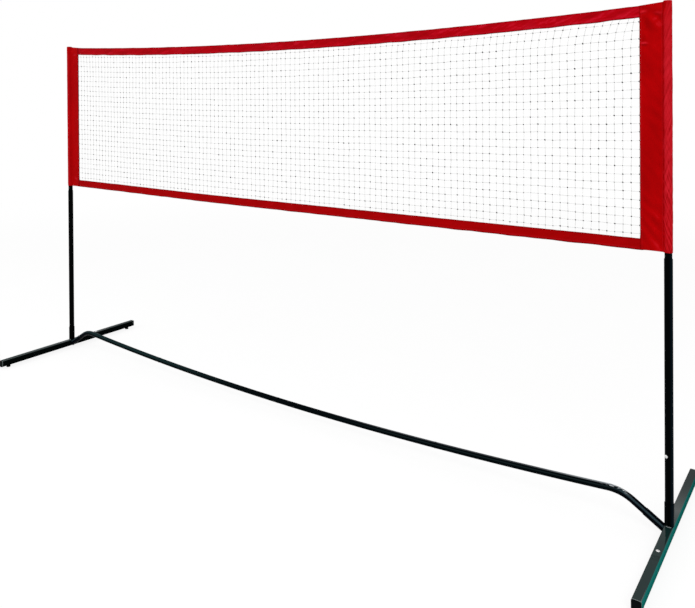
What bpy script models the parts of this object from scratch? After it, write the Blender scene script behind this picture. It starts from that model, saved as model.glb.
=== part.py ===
"""Portable badminton net on a free-standing tube frame.

X runs along the net, Y along the feet and Z up. The origin is on the floor,
midway between the two posts. All lengths are in metres.

Both stands are the same assembly: the left one is the right one turned half
round, so each is built once in its own axes, with the post at the origin and
the net towards -X.
"""

import math

import bmesh
import bpy
from mathutils import Matrix, Vector

# Overall sizes
total_height = 1.560
post_spacing = 2.900
fit_gap = 0.0003
round_steps = 24
small_round_steps = 16

# Foot: a square tube with an end plug in each end, on two pushed-in pads
foot_length = 0.770
foot_width = 0.025
foot_height = 0.028
foot_wall = 0.0015
foot_corner_radius = 0.003
plug_flange = 0.003
plug_depth = 0.016
plug_corner_radius = 0.0012
pad_height = 0.010
pad_radius = 0.009
pad_edge = 0.0012
pad_setback = 0.040
pad_stem_radius = 0.0035
pad_barb = 0.0011
pad_barb_height = 0.002
pad_tip_height = 0.003
rivet_offset = 0.146
rivet_head_radius = 0.0055
rivet_head_height = 0.0026
rivet_shank_radius = 0.0025
rivet_tail_radius = 0.004
rivet_tail_height = 0.0015

# Post: a collar and a spigot on the foot, a lower tube and a narrower upper tube
post_radius = 0.012
post_wall = 0.0012
collar_height = 0.065
collar_wall = 0.0027
spigot_wall = 0.0015
spigot_above_button = 0.025
lower_post_top = 0.812
upper_post_wall = 0.0010
upper_post_insert = 0.120
stop_plug_height = 0.012
cap_flange = 0.003
cap_edge = 0.0022
cap_flat_radius = 0.005
cap_plug_depth = 0.012

# Snap button and the V spring behind it
button_height = 0.240
button_angle = math.radians(60)
button_radius = 0.005
button_proud = 0.0022
button_dome = 0.0018
button_flange_radius = 0.0062
button_flange = 0.0010
spring_width = 0.007
spring_thickness = 0.0008
spring_length = 0.050
spring_bend_radius = 0.0025
spring_overrun = 0.0015

# Crossbar: a thin tube in four plugged sections between two slanted stubs
stub_radius = 0.0116
stub_axis_drop = 0.0004
stub_angle = math.radians(32)
stub_length = 0.065
bar_radius = 0.0104
bar_wall = 0.0012
bar_middle_height = 0.050
bar_sag = 0.047
bend_setback = 0.175
bar_insert = 0.045
middle_section_length = 0.725
centre_joint_x = -0.038
male_end_length = 0.050
male_shoulder = 0.002
bar_bevel_resolution = 6
bar_step = 0.120
bend_points = 6

# Net with its red border
sleeve_above_joint = 0.018
sleeve_width = 0.090
sleeve_thickness = 0.0024
sleeve_top_drop = 0.003
sleeve_top_fall = 0.0075
pocket_wall = 0.0015
pocket_slack = 0.0005
top_band_drop = 0.002
top_band_height = 0.033
top_band_sag = 0.036
bottom_band_height = 0.032
band_thickness = 0.003
band_segments = 24
net_columns = 37
net_rows = 8
twine_width = 0.0020
twine_thickness = 0.0016

# Places that follow from the sizes above
foot_top = pad_height + foot_height
pad_offset = foot_length / 2 - pad_setback
post_bore = post_radius - post_wall
spigot_radius = post_bore - fit_gap
spigot_bore = spigot_radius - spigot_wall
collar_bore = spigot_radius + fit_gap
collar_radius = collar_bore + collar_wall
collar_bottom = foot_top + fit_gap
collar_top = collar_bottom + collar_height
lower_post_bottom = collar_top + fit_gap
spigot_top = button_height + spigot_above_button
upper_post_radius = post_bore - fit_gap
upper_post_bore = upper_post_radius - upper_post_wall
upper_post_bottom = lower_post_top - upper_post_insert
cap_top = total_height - pocket_wall - fit_gap
upper_post_top = cap_top - cap_flange - fit_gap
button_tip = post_radius + button_proud
button_hole_radius = button_radius + fit_gap
flange_face = math.sqrt(spigot_bore ** 2 - button_flange_radius ** 2) - fit_gap
flange_back = flange_face - button_flange
foot_side_x = post_spacing / 2 - foot_width / 2
stub_axis_height = pad_height + foot_height / 2 - stub_axis_drop
male_radius = bar_radius - bar_wall - fit_gap
bend_start_x = post_spacing / 2 - bend_setback
net_bottom = lower_post_top + sleeve_above_joint
pocket_bore = upper_post_radius + pocket_slack
pocket_radius = pocket_bore + pocket_wall
sleeve_top = total_height - sleeve_top_drop
sleeve_inner_top = sleeve_top - sleeve_top_fall
sleeve_inner_x = post_spacing / 2 + pocket_radius - sleeve_width
band_end_x = sleeve_inner_x - fit_gap


# Scene and materials

for old in list(bpy.data.objects):
    bpy.data.objects.remove(old)

parts = bpy.data.collections.new("badminton_net")
bpy.context.scene.collection.children.link(parts)
cutters = bpy.data.collections.new("cutters")
bpy.context.scene.collection.children.link(cutters)


def make_material(name, colour, roughness, metallic=0.0):
    material = bpy.data.materials.new(name)
    material.use_nodes = True
    shader = material.node_tree.nodes["Principled BSDF"]
    shader.inputs["Base Color"].default_value = (*colour, 1.0)
    shader.inputs["Roughness"].default_value = roughness
    shader.inputs["Metallic"].default_value = metallic
    material.diffuse_color = (*colour, 1.0)
    return material


black_paint = make_material("black_paint", (0.012, 0.014, 0.014), 0.28)
black_plastic = make_material("black_plastic", (0.015, 0.015, 0.015), 0.50)
black_rubber = make_material("black_rubber", (0.020, 0.020, 0.020), 0.80)
bright_steel = make_material("bright_steel", (0.62, 0.63, 0.62), 0.30, 1.0)
red_cloth = make_material("red_cloth", (0.50, 0.004, 0.015), 0.65)
white_twine = make_material("white_twine", (0.78, 0.78, 0.76), 0.75)


# Helpers for placing, turning and cutting

def add(name, data, material, parent=None, collection=parts):
    item = bpy.data.objects.new(name, data)
    collection.objects.link(item)
    item.parent = parent
    if material:
        data.materials.append(material)
    return item


def add_bmesh(name, shape, material, parent=None, collection=parts):
    mesh = bpy.data.meshes.new(name)
    bmesh.ops.recalc_face_normals(shape, faces=shape.faces)
    shape.to_mesh(mesh)
    shape.free()
    return add(name, mesh, material, parent, collection)


def turned(name, profile, material, parent=None, closed=False, steps=round_steps):
    """Turn a profile of (radius, height) points, listed from the top down, round Z."""
    shape = bmesh.new()
    points = [shape.verts.new((radius, 0.0, height)) for radius, height in profile]
    for first, second in zip(points, points[1:]):
        shape.edges.new((first, second))
    if closed:
        shape.edges.new((points[-1], points[0]))
    mesh = bpy.data.meshes.new(name)
    shape.to_mesh(mesh)
    shape.free()
    item = add(name, mesh, material, parent)
    screw = item.modifiers.new("turn", "SCREW")
    screw.axis = "Z"
    screw.steps = steps
    screw.render_steps = steps
    screw.use_merge_vertices = True
    screw.merge_threshold = 0.00005
    screw.use_smooth_shade = True
    return item


def ring(name, outer, inner, bottom, top, material, parent=None):
    profile = [(outer, top), (outer, bottom), (inner, bottom), (inner, top)]
    return turned(name, profile, material, parent, True)


def dome(radius, height, base, steps=4):
    """Points of a low dome, from its top down to its edge at the given base height."""
    points = []
    for i in range(steps + 1):
        angle = math.pi / 2 * i / steps
        points.append((radius * math.sin(angle), base + height * math.cos(angle)))
    return points


def long_box(name, width, length, height, corner, material, parent=None, collection=parts):
    """A bar along Y with its four long edges rounded, centred on its origin."""
    shape = bmesh.new()
    bmesh.ops.create_cube(shape, size=1.0, matrix=Matrix.Diagonal((width, length, height, 1.0)))
    long_edges = [e for e in shape.edges if abs(e.verts[0].co.y - e.verts[1].co.y) > length / 2]
    bmesh.ops.bevel(shape, geom=long_edges, offset=corner, segments=3, profile=0.5, affect="EDGES")
    return add_bmesh(name, shape, material, parent, collection)


def hide_cutter(item):
    item.hide_render = True
    item.display_type = "WIRE"
    return item


def cylinder_cutter(name, radius, start, end, parent=None):
    """A cylinder from start to end, used to bore a hole."""
    run = Vector(end) - Vector(start)
    shape = bmesh.new()
    bmesh.ops.create_cone(shape, cap_ends=True, segments=round_steps, radius1=radius, radius2=radius,
                          depth=run.length)
    item = add_bmesh(name, shape, None, parent, cutters)
    item.rotation_euler = run.to_track_quat("Z", "Y").to_euler()
    item.location = (Vector(start) + Vector(end)) / 2
    return hide_cutter(item)


def boolean(item, other, operation="DIFFERENCE"):
    modifier = item.modifiers.new(other.name, "BOOLEAN")
    modifier.operation = operation
    modifier.object = other
    modifier.solver = "EXACT"


# Pieces of a stand, in the stand's own axes

def foot_bar(side, stand):
    length = foot_length - 2 * (plug_flange + fit_gap)
    inner = foot_wall * 2
    bar = long_box(side + "_foot_bar", foot_width, length, foot_height, foot_corner_radius, black_paint, stand)
    bar.location.z = pad_height + foot_height / 2
    hollow = long_box(side + "_foot_hollow", foot_width - inner, foot_length * 1.1, foot_height - inner,
                      foot_corner_radius - foot_wall, None, stand, cutters)
    hollow.location = bar.location
    boolean(bar, hide_cutter(hollow))
    for end, y in (("front", -pad_offset), ("back", pad_offset)):
        hole = cylinder_cutter(side + "_pad_hole_" + end, pad_stem_radius + fit_gap,
                               (0, y, pad_height - foot_wall), (0, y, pad_height + 2 * foot_wall), stand)
        boolean(bar, hole)
    hole = cylinder_cutter(side + "_rivet_hole", rivet_shank_radius + fit_gap,
                           (0, -rivet_offset, foot_top - 2 * foot_wall), (0, -rivet_offset, foot_top + foot_wall),
                           stand)
    boolean(bar, hole)
    return bar


def end_plug(side, end, stand, turn):
    """A flange over the tube's end, with a body that fits inside; turn is 0 at +Y and half a turn at -Y."""
    shape = bmesh.new()
    size = Matrix.Diagonal((foot_width, plug_flange, foot_height, 1.0))
    bmesh.ops.create_cube(shape, size=1.0, matrix=size)
    inner = min(shape.faces, key=lambda face: face.calc_center_median().y)
    bmesh.ops.inset_region(shape, faces=[inner], thickness=foot_wall + fit_gap, use_even_offset=True)
    made = bmesh.ops.extrude_face_region(shape, geom=[inner])
    moved = [v for v in made["geom"] if isinstance(v, bmesh.types.BMVert)]
    bmesh.ops.translate(shape, verts=moved, vec=(0, -plug_depth, 0))
    bmesh.ops.delete(shape, geom=[inner], context="FACES")
    flange_edges = []
    body_edges = []
    for edge in shape.edges:
        first, second = edge.verts
        run = abs(first.co.y - second.co.y)
        if abs(run - plug_flange) < 1e-6:
            flange_edges.append(edge)
        elif abs(run - plug_depth) < 1e-6:
            body_edges.append(edge)
    bmesh.ops.bevel(shape, geom=body_edges, offset=plug_corner_radius, segments=2, profile=0.5, affect="EDGES")
    bmesh.ops.bevel(shape, geom=flange_edges, offset=foot_corner_radius, segments=3, profile=0.5, affect="EDGES")
    plug = add_bmesh(side + "_end_plug_" + end, shape, black_plastic, stand)
    outward = 1 if turn == 0 else -1
    plug.location = (0, outward * (foot_length / 2 - plug_flange / 2), pad_height + foot_height / 2)
    plug.rotation_euler.z = turn
    return plug


def pad(side, end, y, stand):
    """A round pad with a stem through the bar's lower wall and a barb above it."""
    wall_top = pad_height + foot_wall + fit_gap
    barb_top = wall_top + pad_barb_height
    disc_top = pad_height - fit_gap
    profile = [
        (0, barb_top + pad_tip_height),
        (pad_stem_radius - pad_barb, barb_top + pad_tip_height),
        (pad_stem_radius + pad_barb, barb_top),
        (pad_stem_radius + pad_barb, wall_top),
        (pad_stem_radius, wall_top),
        (pad_stem_radius, disc_top),
        (pad_radius - pad_edge, disc_top),
        (pad_radius, disc_top - pad_edge),
        (pad_radius, pad_edge),
        (pad_radius - pad_edge, 0),
        (0, 0),
    ]
    item = turned(side + "_pad_" + end, profile, black_rubber, stand, steps=small_round_steps)
    item.location.y = y
    return item


def rivet(side, stand):
    under_wall = foot_top - foot_wall - fit_gap
    profile = dome(rivet_head_radius, rivet_head_height, foot_top + fit_gap)
    profile += [
        (rivet_shank_radius, foot_top + fit_gap),
        (rivet_shank_radius, under_wall),
        (rivet_tail_radius, under_wall),
        (rivet_tail_radius, under_wall - rivet_tail_height),
        (0, under_wall - rivet_tail_height),
    ]
    item = turned(side + "_foot_rivet", profile, bright_steel, stand, steps=small_round_steps)
    item.location.y = -rivet_offset
    return item


def crossbar_stub(side, stand):
    """A slanted tube whose lower end is cut to the foot's side face."""
    spare = 2 * stub_radius
    tube = ring(side + "_crossbar_stub", stub_radius, bar_radius + fit_gap, -spare, stub_length, black_paint,
                stand)
    tube.rotation_euler.y = -(math.pi / 2 - stub_angle)
    tube.location = (-foot_width / 2, 0, stub_axis_height)
    block = long_box(side + "_stub_cut", 2 * spare, 4 * spare, 4 * spare, fit_gap, None, stand, cutters)
    block.location = (-foot_width / 2 - fit_gap + spare, 0, stub_axis_height)
    boolean(tube, hide_cutter(block))
    return tube


def snap_button(side, lock):
    profile = dome(button_radius, button_dome, button_tip - button_dome)
    profile += [
        (button_radius, flange_face),
        (button_flange_radius, flange_face),
        (button_flange_radius, flange_back),
        (0, flange_back),
    ]
    item = turned(side + "_snap_button", profile, bright_steel, lock, steps=small_round_steps)
    item.rotation_euler.y = -math.pi / 2
    item.location.z = button_height
    return item


def v_spring(side, lock):
    """A bent strip: one leg behind the button's flange, the other on the spigot's far wall."""
    near_x = -(flange_back - fit_gap - spring_thickness / 2)
    far_x = math.sqrt(spigot_bore ** 2 - (spring_width / 2) ** 2) - fit_gap - spring_thickness / 2
    reach = button_flange_radius + spring_overrun
    bend_z = button_height - spring_length
    path = [(far_x, button_height + reach), (far_x, bend_z)]
    for i in range(1, 7):
        angle = -math.pi * i / 6
        path.append((far_x - spring_bend_radius * (1 - math.cos(angle)),
                     bend_z + spring_bend_radius * math.sin(angle)))
    path += [(near_x, button_height - reach), (near_x, button_height + reach)]
    shape = bmesh.new()
    pairs = []
    for x, z in path:
        pairs.append([shape.verts.new((x, side_y * spring_width / 2, z)) for side_y in (-1, 1)])
    for first, second in zip(pairs, pairs[1:]):
        shape.faces.new((first[0], first[1], second[1], second[0]))
    item = add_bmesh(side + "_v_spring", shape, bright_steel, lock)
    thicken = item.modifiers.new("strip", "SOLIDIFY")
    thicken.thickness = spring_thickness
    thicken.offset = 0
    return item


def post_pieces(side, stand):
    """Collar, spigot, button, spring, lower tube, stop plug, upper tube and its cap."""
    ring(side + "_post_collar", collar_radius, collar_bore, collar_bottom, collar_top, black_paint, stand)
    spigot = ring(side + "_post_spigot", spigot_radius, spigot_bore, collar_bottom, spigot_top, black_paint, stand)
    lower = ring(side + "_lower_post", post_radius, post_bore, lower_post_bottom, lower_post_top, black_paint,
                 stand)
    # the button's own axes: it points along -X of an empty that is turned towards the player
    lock = bpy.data.objects.new(side + "_lock", None)
    parts.objects.link(lock)
    lock.parent = stand
    lock.rotation_euler.z = button_angle
    hole = cylinder_cutter(side + "_button_hole", button_hole_radius, (0, 0, button_height),
                           (-2 * post_radius, 0, button_height), lock)
    boolean(spigot, hole)
    boolean(lower, hole)
    snap_button(side, lock)
    v_spring(side, lock)
    plug_top = upper_post_bottom - fit_gap
    plug_profile = [
        (0, plug_top),
        (post_bore - fit_gap, plug_top),
        (post_bore - fit_gap, plug_top - stop_plug_height),
        (0, plug_top - stop_plug_height),
    ]
    turned(side + "_stop_plug", plug_profile, black_plastic, stand)
    ring(side + "_upper_post", upper_post_radius, upper_post_bore, upper_post_bottom, upper_post_top,
         black_paint, stand)
    cap_profile = [
        (0, cap_top),
        (cap_flat_radius, cap_top),
        (upper_post_radius - cap_edge / 2, cap_top - cap_edge / 3),
        (upper_post_radius, cap_top - cap_edge),
        (upper_post_radius, cap_top - cap_flange),
        (upper_post_bore - fit_gap, cap_top - cap_flange),
        (upper_post_bore - fit_gap, cap_top - cap_flange - cap_plug_depth),
        (0, cap_top - cap_flange - cap_plug_depth),
    ]
    turned(side + "_post_cap", cap_profile, black_plastic, stand)


def build_stand(side, x, turn):
    stand = bpy.data.objects.new(side + "_stand", None)
    parts.objects.link(stand)
    stand.location.x = x
    stand.rotation_euler.z = turn
    near, far = ("front", "back") if turn == 0 else ("back", "front")
    foot_bar(side, stand)
    end_plug(side, near, stand, math.pi)
    end_plug(side, far, stand, 0)
    pad(side, near, -pad_offset, stand)
    pad(side, far, pad_offset, stand)
    rivet(side, stand)
    crossbar_stub(side, stand)
    post_pieces(side, stand)


# Crossbar

def bar_height(x):
    """Height of the sagging bar's axis between the two bends."""
    return bar_middle_height + bar_sag * (x / bend_start_x) ** 2


def bar_half_route():
    """Axis points (x, z) from the middle of the bar to its end inside the right stub."""
    count = max(2, round(bend_start_x / bar_step))
    points = [(bend_start_x * i / count, bar_height(bend_start_x * i / count)) for i in range(count + 1)]
    # the bar's tangent at the bend, and the stub's axis, met at a corner
    start = Vector((bend_start_x, bar_height(bend_start_x)))
    slope = Vector((1.0, 2 * bar_sag / bend_start_x)).normalized()
    foot_point = Vector((foot_side_x, stub_axis_height))
    outward = Vector((math.cos(stub_angle), -math.sin(stub_angle)))
    across = foot_point - start
    to_corner = (across.x * outward.y - across.y * outward.x) / (slope.x * outward.y - slope.y * outward.x)
    corner = start + slope * to_corner
    # a round bend of equal tangent lengths on both sides of the corner
    turn = slope.angle(outward)
    radius = to_corner / math.tan(turn / 2)
    centre = start + radius * Vector((slope.y, -slope.x))
    arm = start - centre
    for i in range(1, bend_points + 1):
        swing = turn * i / bend_points
        points.append((centre.x + arm.x * math.cos(swing) + arm.y * math.sin(swing),
                       centre.y + arm.y * math.cos(swing) - arm.x * math.sin(swing)))
    end = foot_point - outward * (stub_length - bar_insert)
    points.append((end.x, end.y))
    return points


def bar_route():
    """The whole axis of the bar, from the left stub to the right one."""
    half = bar_half_route()
    return [(-x, z) for x, z in reversed(half[1:])] + half


def point_at(route, x):
    """The axis point at x, between two points of the route."""
    for (x0, z0), (x1, z1) in zip(route, route[1:]):
        if x0 <= x <= x1:
            return (x, z0 + (z1 - z0) * (x - x0) / (x1 - x0))
    return route[-1]


def bar_section(name, route, left, right, male):
    """A tube along the route from left to right; male adds a narrow end that fits the next section."""
    inner = [(x, z) for x, z in route if left < x < right]
    points = [(*point_at(route, left), 1.0)] + [(x, z, 1.0) for x, z in inner] + [(*point_at(route, right), 1.0)]
    if male:
        narrow = male_radius / bar_radius
        shoulder = left - fit_gap
        tip = left - male_end_length
        lead = [(x, z, narrow) for x, z in route if tip < x < shoulder - male_shoulder]
        points = [(*point_at(route, tip), narrow)] + lead + [(*point_at(route, shoulder), narrow)] + points
    curve = bpy.data.curves.new(name, "CURVE")
    curve.dimensions = "3D"
    curve.twist_mode = "Z_UP"
    curve.bevel_depth = bar_radius
    curve.bevel_resolution = bar_bevel_resolution
    spline = curve.splines.new("POLY")
    spline.points.add(len(points) - 1)
    for point, (x, z, radius) in zip(spline.points, points):
        point.co = (x, 0.0, z, 1.0)
        point.radius = radius
    item = add(name, curve, black_paint)
    wall = item.modifiers.new("wall", "SOLIDIFY")
    wall.thickness = bar_wall
    wall.offset = -1
    return item


def build_crossbar():
    route = bar_route()
    joints = [centre_joint_x + middle_section_length * i for i in (-1, 0, 1)]
    left_end = route[0][0]
    right_end = route[-1][0]
    half = fit_gap / 2
    bar_section("left_crossbar_end", route, left_end, joints[0] - half, False)
    bar_section("left_crossbar_middle", route, joints[0] + half, joints[1] - half, True)
    bar_section("right_crossbar_middle", route, joints[1] + half, joints[2] - half, True)
    bar_section("right_crossbar_end", route, joints[2] + half, right_end, True)


# Net

def top_band_top(x):
    """Upper edge of the sagging top band, which ends a little below the sleeve's inner corner."""
    return sleeve_inner_top - top_band_drop - top_band_sag * (1 - (x / band_end_x) ** 2)


def top_band_low(x):
    return top_band_top(x) - top_band_height


def band(name, low, top, net):
    """A flat strip between two curves of height against x."""
    shape = bmesh.new()
    columns = []
    for i in range(band_segments + 1):
        x = band_end_x * (2 * i / band_segments - 1)
        columns.append((shape.verts.new((x, 0, low(x))), shape.verts.new((x, 0, top(x)))))
    for first, second in zip(columns, columns[1:]):
        shape.faces.new((first[0], second[0], second[1], first[1]))
    item = add_bmesh(name, shape, red_cloth, net)
    thicken = item.modifiers.new("tape", "SOLIDIFY")
    thicken.thickness = band_thickness
    thicken.offset = 0
    return item


def net_mesh(net):
    """The twine as one lattice: squares at the crossings and short bars between them."""
    half = twine_width / 2
    end = band_end_x - half
    low = net_bottom + bottom_band_height + fit_gap
    xs = [end * (2 * i / net_columns - 1) + edge for i in range(net_columns + 1) for edge in (-half, half)]
    shape = bmesh.new()
    grid = []
    for x in xs:
        high = top_band_low(x) - fit_gap
        pitch = (high - low - twine_width) / net_rows
        grid.append([shape.verts.new((x, 0, low + pitch * row + edge))
                     for row in range(net_rows + 1) for edge in (0, twine_width)])
    for i in range(len(grid) - 1):
        for k in range(len(grid[0]) - 1):
            if i % 2 == 0 or k % 2 == 0:
                shape.faces.new((grid[i][k], grid[i + 1][k], grid[i + 1][k + 1], grid[i][k + 1]))
    item = add_bmesh("net_mesh", shape, white_twine, net)
    thicken = item.modifiers.new("twine", "SOLIDIFY")
    thicken.thickness = twine_thickness
    thicken.offset = 0
    return item


def sleeve(side, net, direction):
    """A flat cloth panel joined to a pocket that is closed at its top; direction points at the net.

    The panel's top edge falls towards the net.
    """
    post_x = -direction * post_spacing / 2
    panel_end = -direction * sleeve_inner_x
    width = abs(post_x - panel_end)
    height = sleeve_top - net_bottom
    panel = bmesh.new()
    bmesh.ops.create_cube(panel, size=1.0, matrix=Matrix.Diagonal((width, sleeve_thickness, height, 1.0)))
    inner_corners = [v for v in panel.verts if v.co.z > 0 and v.co.x * direction > 0]
    bmesh.ops.translate(panel, verts=inner_corners, vec=(0, 0, -sleeve_top_fall))
    item = add_bmesh(side + "_sleeve", panel, red_cloth, net)
    item.location = ((post_x + panel_end) / 2, 0, net_bottom + height / 2)
    pocket = cylinder_cutter(side + "_pocket_outside", pocket_radius, (post_x, 0, net_bottom),
                             (post_x, 0, total_height), net)
    bore = cylinder_cutter(side + "_pocket_bore", pocket_bore, (post_x, 0, net_bottom - 2 * pocket_wall),
                           (post_x, 0, total_height - pocket_wall), net)
    boolean(item, pocket, "UNION")
    boolean(item, bore)
    return item


def build_net():
    net = bpy.data.objects.new("net", None)
    parts.objects.link(net)
    net_mesh(net)
    band("top_band", top_band_low, top_band_top, net)
    band("bottom_band", lambda x: net_bottom, lambda x: net_bottom + bottom_band_height, net)
    sleeve("left", net, 1)
    sleeve("right", net, -1)


build_stand("right", post_spacing / 2, 0.0)
build_stand("left", -post_spacing / 2, math.pi)
build_crossbar()
build_net()
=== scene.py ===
# %% [markdown]
# # A small badminton net on its own tube frame
#
# This lesson dresses a badminton net that stands by itself: two square-tube feet,
# two round posts, a low bent crossbar between the feet, and a red-bordered net
# whose sleeves slip over the posts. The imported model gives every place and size.
# Each cell makes one kind of piece, finer than its plain solid, and then lets it
# ride on the same moving body.

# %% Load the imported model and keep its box
import math

import bmesh
import bpy
from mathutils import Matrix, Vector, noise


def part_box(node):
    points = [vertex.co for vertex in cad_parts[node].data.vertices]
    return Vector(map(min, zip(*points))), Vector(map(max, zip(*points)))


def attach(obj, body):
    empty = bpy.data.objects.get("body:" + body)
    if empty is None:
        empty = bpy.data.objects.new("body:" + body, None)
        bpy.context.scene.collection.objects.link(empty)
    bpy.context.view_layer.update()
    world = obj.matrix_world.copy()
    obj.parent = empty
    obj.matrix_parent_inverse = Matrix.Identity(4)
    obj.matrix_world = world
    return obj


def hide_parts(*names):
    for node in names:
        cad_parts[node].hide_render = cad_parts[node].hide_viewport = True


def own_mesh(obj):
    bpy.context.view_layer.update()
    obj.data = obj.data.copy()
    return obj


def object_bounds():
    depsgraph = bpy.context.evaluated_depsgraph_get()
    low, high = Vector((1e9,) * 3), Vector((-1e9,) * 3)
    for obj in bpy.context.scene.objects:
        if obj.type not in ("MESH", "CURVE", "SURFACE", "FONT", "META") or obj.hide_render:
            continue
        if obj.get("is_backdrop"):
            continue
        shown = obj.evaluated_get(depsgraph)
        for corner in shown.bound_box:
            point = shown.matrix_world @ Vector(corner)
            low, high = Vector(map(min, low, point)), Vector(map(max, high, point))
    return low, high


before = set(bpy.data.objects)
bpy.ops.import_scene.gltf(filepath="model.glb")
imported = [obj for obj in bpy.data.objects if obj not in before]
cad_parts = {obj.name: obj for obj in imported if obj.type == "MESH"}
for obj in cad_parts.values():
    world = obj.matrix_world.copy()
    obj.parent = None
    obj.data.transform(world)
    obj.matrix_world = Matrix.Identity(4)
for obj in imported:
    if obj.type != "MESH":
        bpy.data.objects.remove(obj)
cad_low, cad_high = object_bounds()
print("model box", [round(v, 4) for v in (*cad_low, *cad_high)])

# %% [markdown]
# ## The camera
#
# The photograph was taken level, from the right of the net, with a camera at
# about shoulder height, so upright tubes stay upright. A level camera sees the
# feet only if its frame is shifted down, as with an old view camera. Its place and
# lens come from fitting the posts, the feet and the net's corners.

# %% Camera
image_width = 695
image_height = 608
focal_pixels = 724.8
principal_row = 102.9
camera_place = (1.9021, -2.2444, 1.2821)
camera_yaw = 0.615
camera_pitch = -0.0064
camera_roll = -0.0064


def added(name, data):
    """A new object in the scene, at the origin."""
    item = bpy.data.objects.new(name, data)
    bpy.context.scene.collection.objects.link(item)
    return item


camera_data = bpy.data.cameras.new("camera")
camera_data.sensor_width = 36.0
camera_data.lens = camera_data.sensor_width * focal_pixels / image_width
camera_data.shift_y = (principal_row - image_height / 2) / image_width
camera_data.clip_start = 0.05
camera_data.clip_end = 2000.0
camera = added("camera", camera_data)
camera.matrix_world = (
    Matrix.Translation(camera_place)
    @ Matrix.Rotation(camera_yaw, 4, "Z")
    @ Matrix.Rotation(math.pi / 2 + camera_pitch, 4, "X")
    @ Matrix.Rotation(camera_roll, 4, "Z")
)
bpy.context.scene.camera = camera
bpy.context.scene.view_settings.view_transform = "Standard"
print("lens", round(camera_data.lens, 2), "mm, shift", round(camera_data.shift_y, 3))

# %% [markdown]
# ## Shader arithmetic in plain Python
#
# A finish is a small graph of nodes. Wiring each Math node by hand hides the idea,
# so one class wraps a socket and lets Python's own signs add the nodes: `1 - mask`
# is one node. Every other node comes from one method of the finish. A finish also
# knows the slot of its pieces, and a colour is written as three numbers.

# %% Value and Finish
def operator(operation, swapped=False):
    """A method for one of Python's signs; swapped where the Value stands behind the sign."""
    def method(self, other):
        terms = (other, self) if swapped else (self, other)
        return self.math(operation, *terms)

    return method


class Value:
    """A shader value; each sign used on it adds one Math node."""

    __add__ = operator("ADD")
    __radd__ = operator("ADD", swapped=True)
    __sub__ = operator("SUBTRACT")
    __rsub__ = operator("SUBTRACT", swapped=True)
    __mul__ = operator("MULTIPLY")
    __rmul__ = operator("MULTIPLY", swapped=True)
    __lt__ = operator("LESS_THAN")
    __mod__ = operator("FLOORED_MODULO")

    def __init__(self, tree, socket):
        self.tree = tree
        self.socket = socket

    def math(self, operation, *terms):
        node = self.tree.nodes.new("ShaderNodeMath")
        node.operation = operation
        for slot, term in zip(node.inputs, terms):
            if isinstance(term, Value):
                self.tree.links.new(term.socket, slot)
            else:
                slot.default_value = term
        return Value(self.tree, node.outputs[0])

    def __abs__(self):
        return self.math("ABSOLUTE", self)

    def wave(self, period):
        """Swings between 0 and 1 once in each period."""
        return 0.5 + 0.5 * self.math("SINE", self * (2 * math.pi / period))


class Finish:
    """A material with its Principled shader, and the slot of the pieces that wear it."""

    def __init__(self, name, slot, constants):
        self.slot = slot
        self.material = bpy.data.materials.new(name)
        self.material.use_nodes = True
        self.tree = self.material.node_tree
        self.shader = self.tree.nodes["Principled BSDF"]
        for socket, value in constants.items():
            self.set(socket, value)

    def feed(self, socket, value):
        """Link a Value to a socket, or write a constant into it."""
        if isinstance(value, Value):
            self.tree.links.new(value.socket, socket)
        elif socket.type == "RGBA":
            socket.default_value = (*value, 1.0)
        else:
            socket.default_value = value

    def set(self, socket, value):
        self.feed(self.shader.inputs[socket], value)

    def node(self, kind, settings=None, inputs=None, out=0):
        """Any node: its settings first, then the values or links of its sockets."""
        node = self.tree.nodes.new("ShaderNode" + kind)
        for key, value in (settings or {}).items():
            setattr(node, key, value)
        for key, value in (inputs or {}).items():
            self.feed(node.inputs[key], value)
        return Value(self.tree, node.outputs[out])

    def place(self):
        return self.node("TexCoord", out="Object")

    def axes(self, vector):
        """The three numbers of a vector."""
        return [self.node("SeparateXYZ", None, {0: vector}, out) for out in range(3)]

    def speckle(self, vector, scale, detail=2.0):
        return self.node("TexNoise", None, {"Vector": vector, "Scale": scale, "Detail": detail})

    def step(self, value, low, high):
        """Rises smoothly from 0 to 1 as the value goes from low to high."""
        inputs = {"Value": value, "From Min": low, "From Max": high}
        return self.node("MapRange", {"interpolation_type": "SMOOTHSTEP"}, inputs)

    def stripe(self, value, rise, fall):
        """1 between two smooth edges, each given by where it starts and ends."""
        return self.step(value, *rise) * (1 - self.step(value, *fall))

    def mix(self, factor, first, second):
        """A colour between two colours, through a Mix node."""
        return self.node("Mix", {"data_type": "RGBA"}, {0: factor, 6: first, 7: second}, 2)

    def bump(self, height, distance, strength):
        inputs = {"Height": height, "Distance": distance, "Strength": strength}
        self.set("Normal", self.node("Bump", None, inputs))


print("shader helpers ready")

# %% [markdown]
# ## Floor, background and light
#
# The net stands on white, as catalogue pictures do. The floor is near white and
# keeps a soft shadow. The world is pure white where the camera, a reflection or
# glass looks at it, and about three fifths as bright where it lights the object. One
# wide lamp stands in front on the right, and a weaker one fills from the left. What
# the camera sees of the floor is four fifths pure white near the net, so only a
# faint shadow is left there, and all white farther off, so no horizon shows.

# %% Stage
ambient = 0.62
floor_half = 1000.0
floor_drop = 0.0004
near_floor = 3.0
far_floor = 7.0
near_whiteness = 0.80


def looked_at(tree):
    """1 where the camera, a reflection or glass looks at a surface, and 0 where light falls from it."""
    rays = tree.nodes.new("ShaderNodeLightPath")
    direct, glossy, through = [
        Value(tree, rays.outputs[f"Is {kind} Ray"]) for kind in ("Camera", "Glossy", "Transmission")
    ]
    return direct.math("MAXIMUM", direct, direct.math("MAXIMUM", glossy, through))


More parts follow.
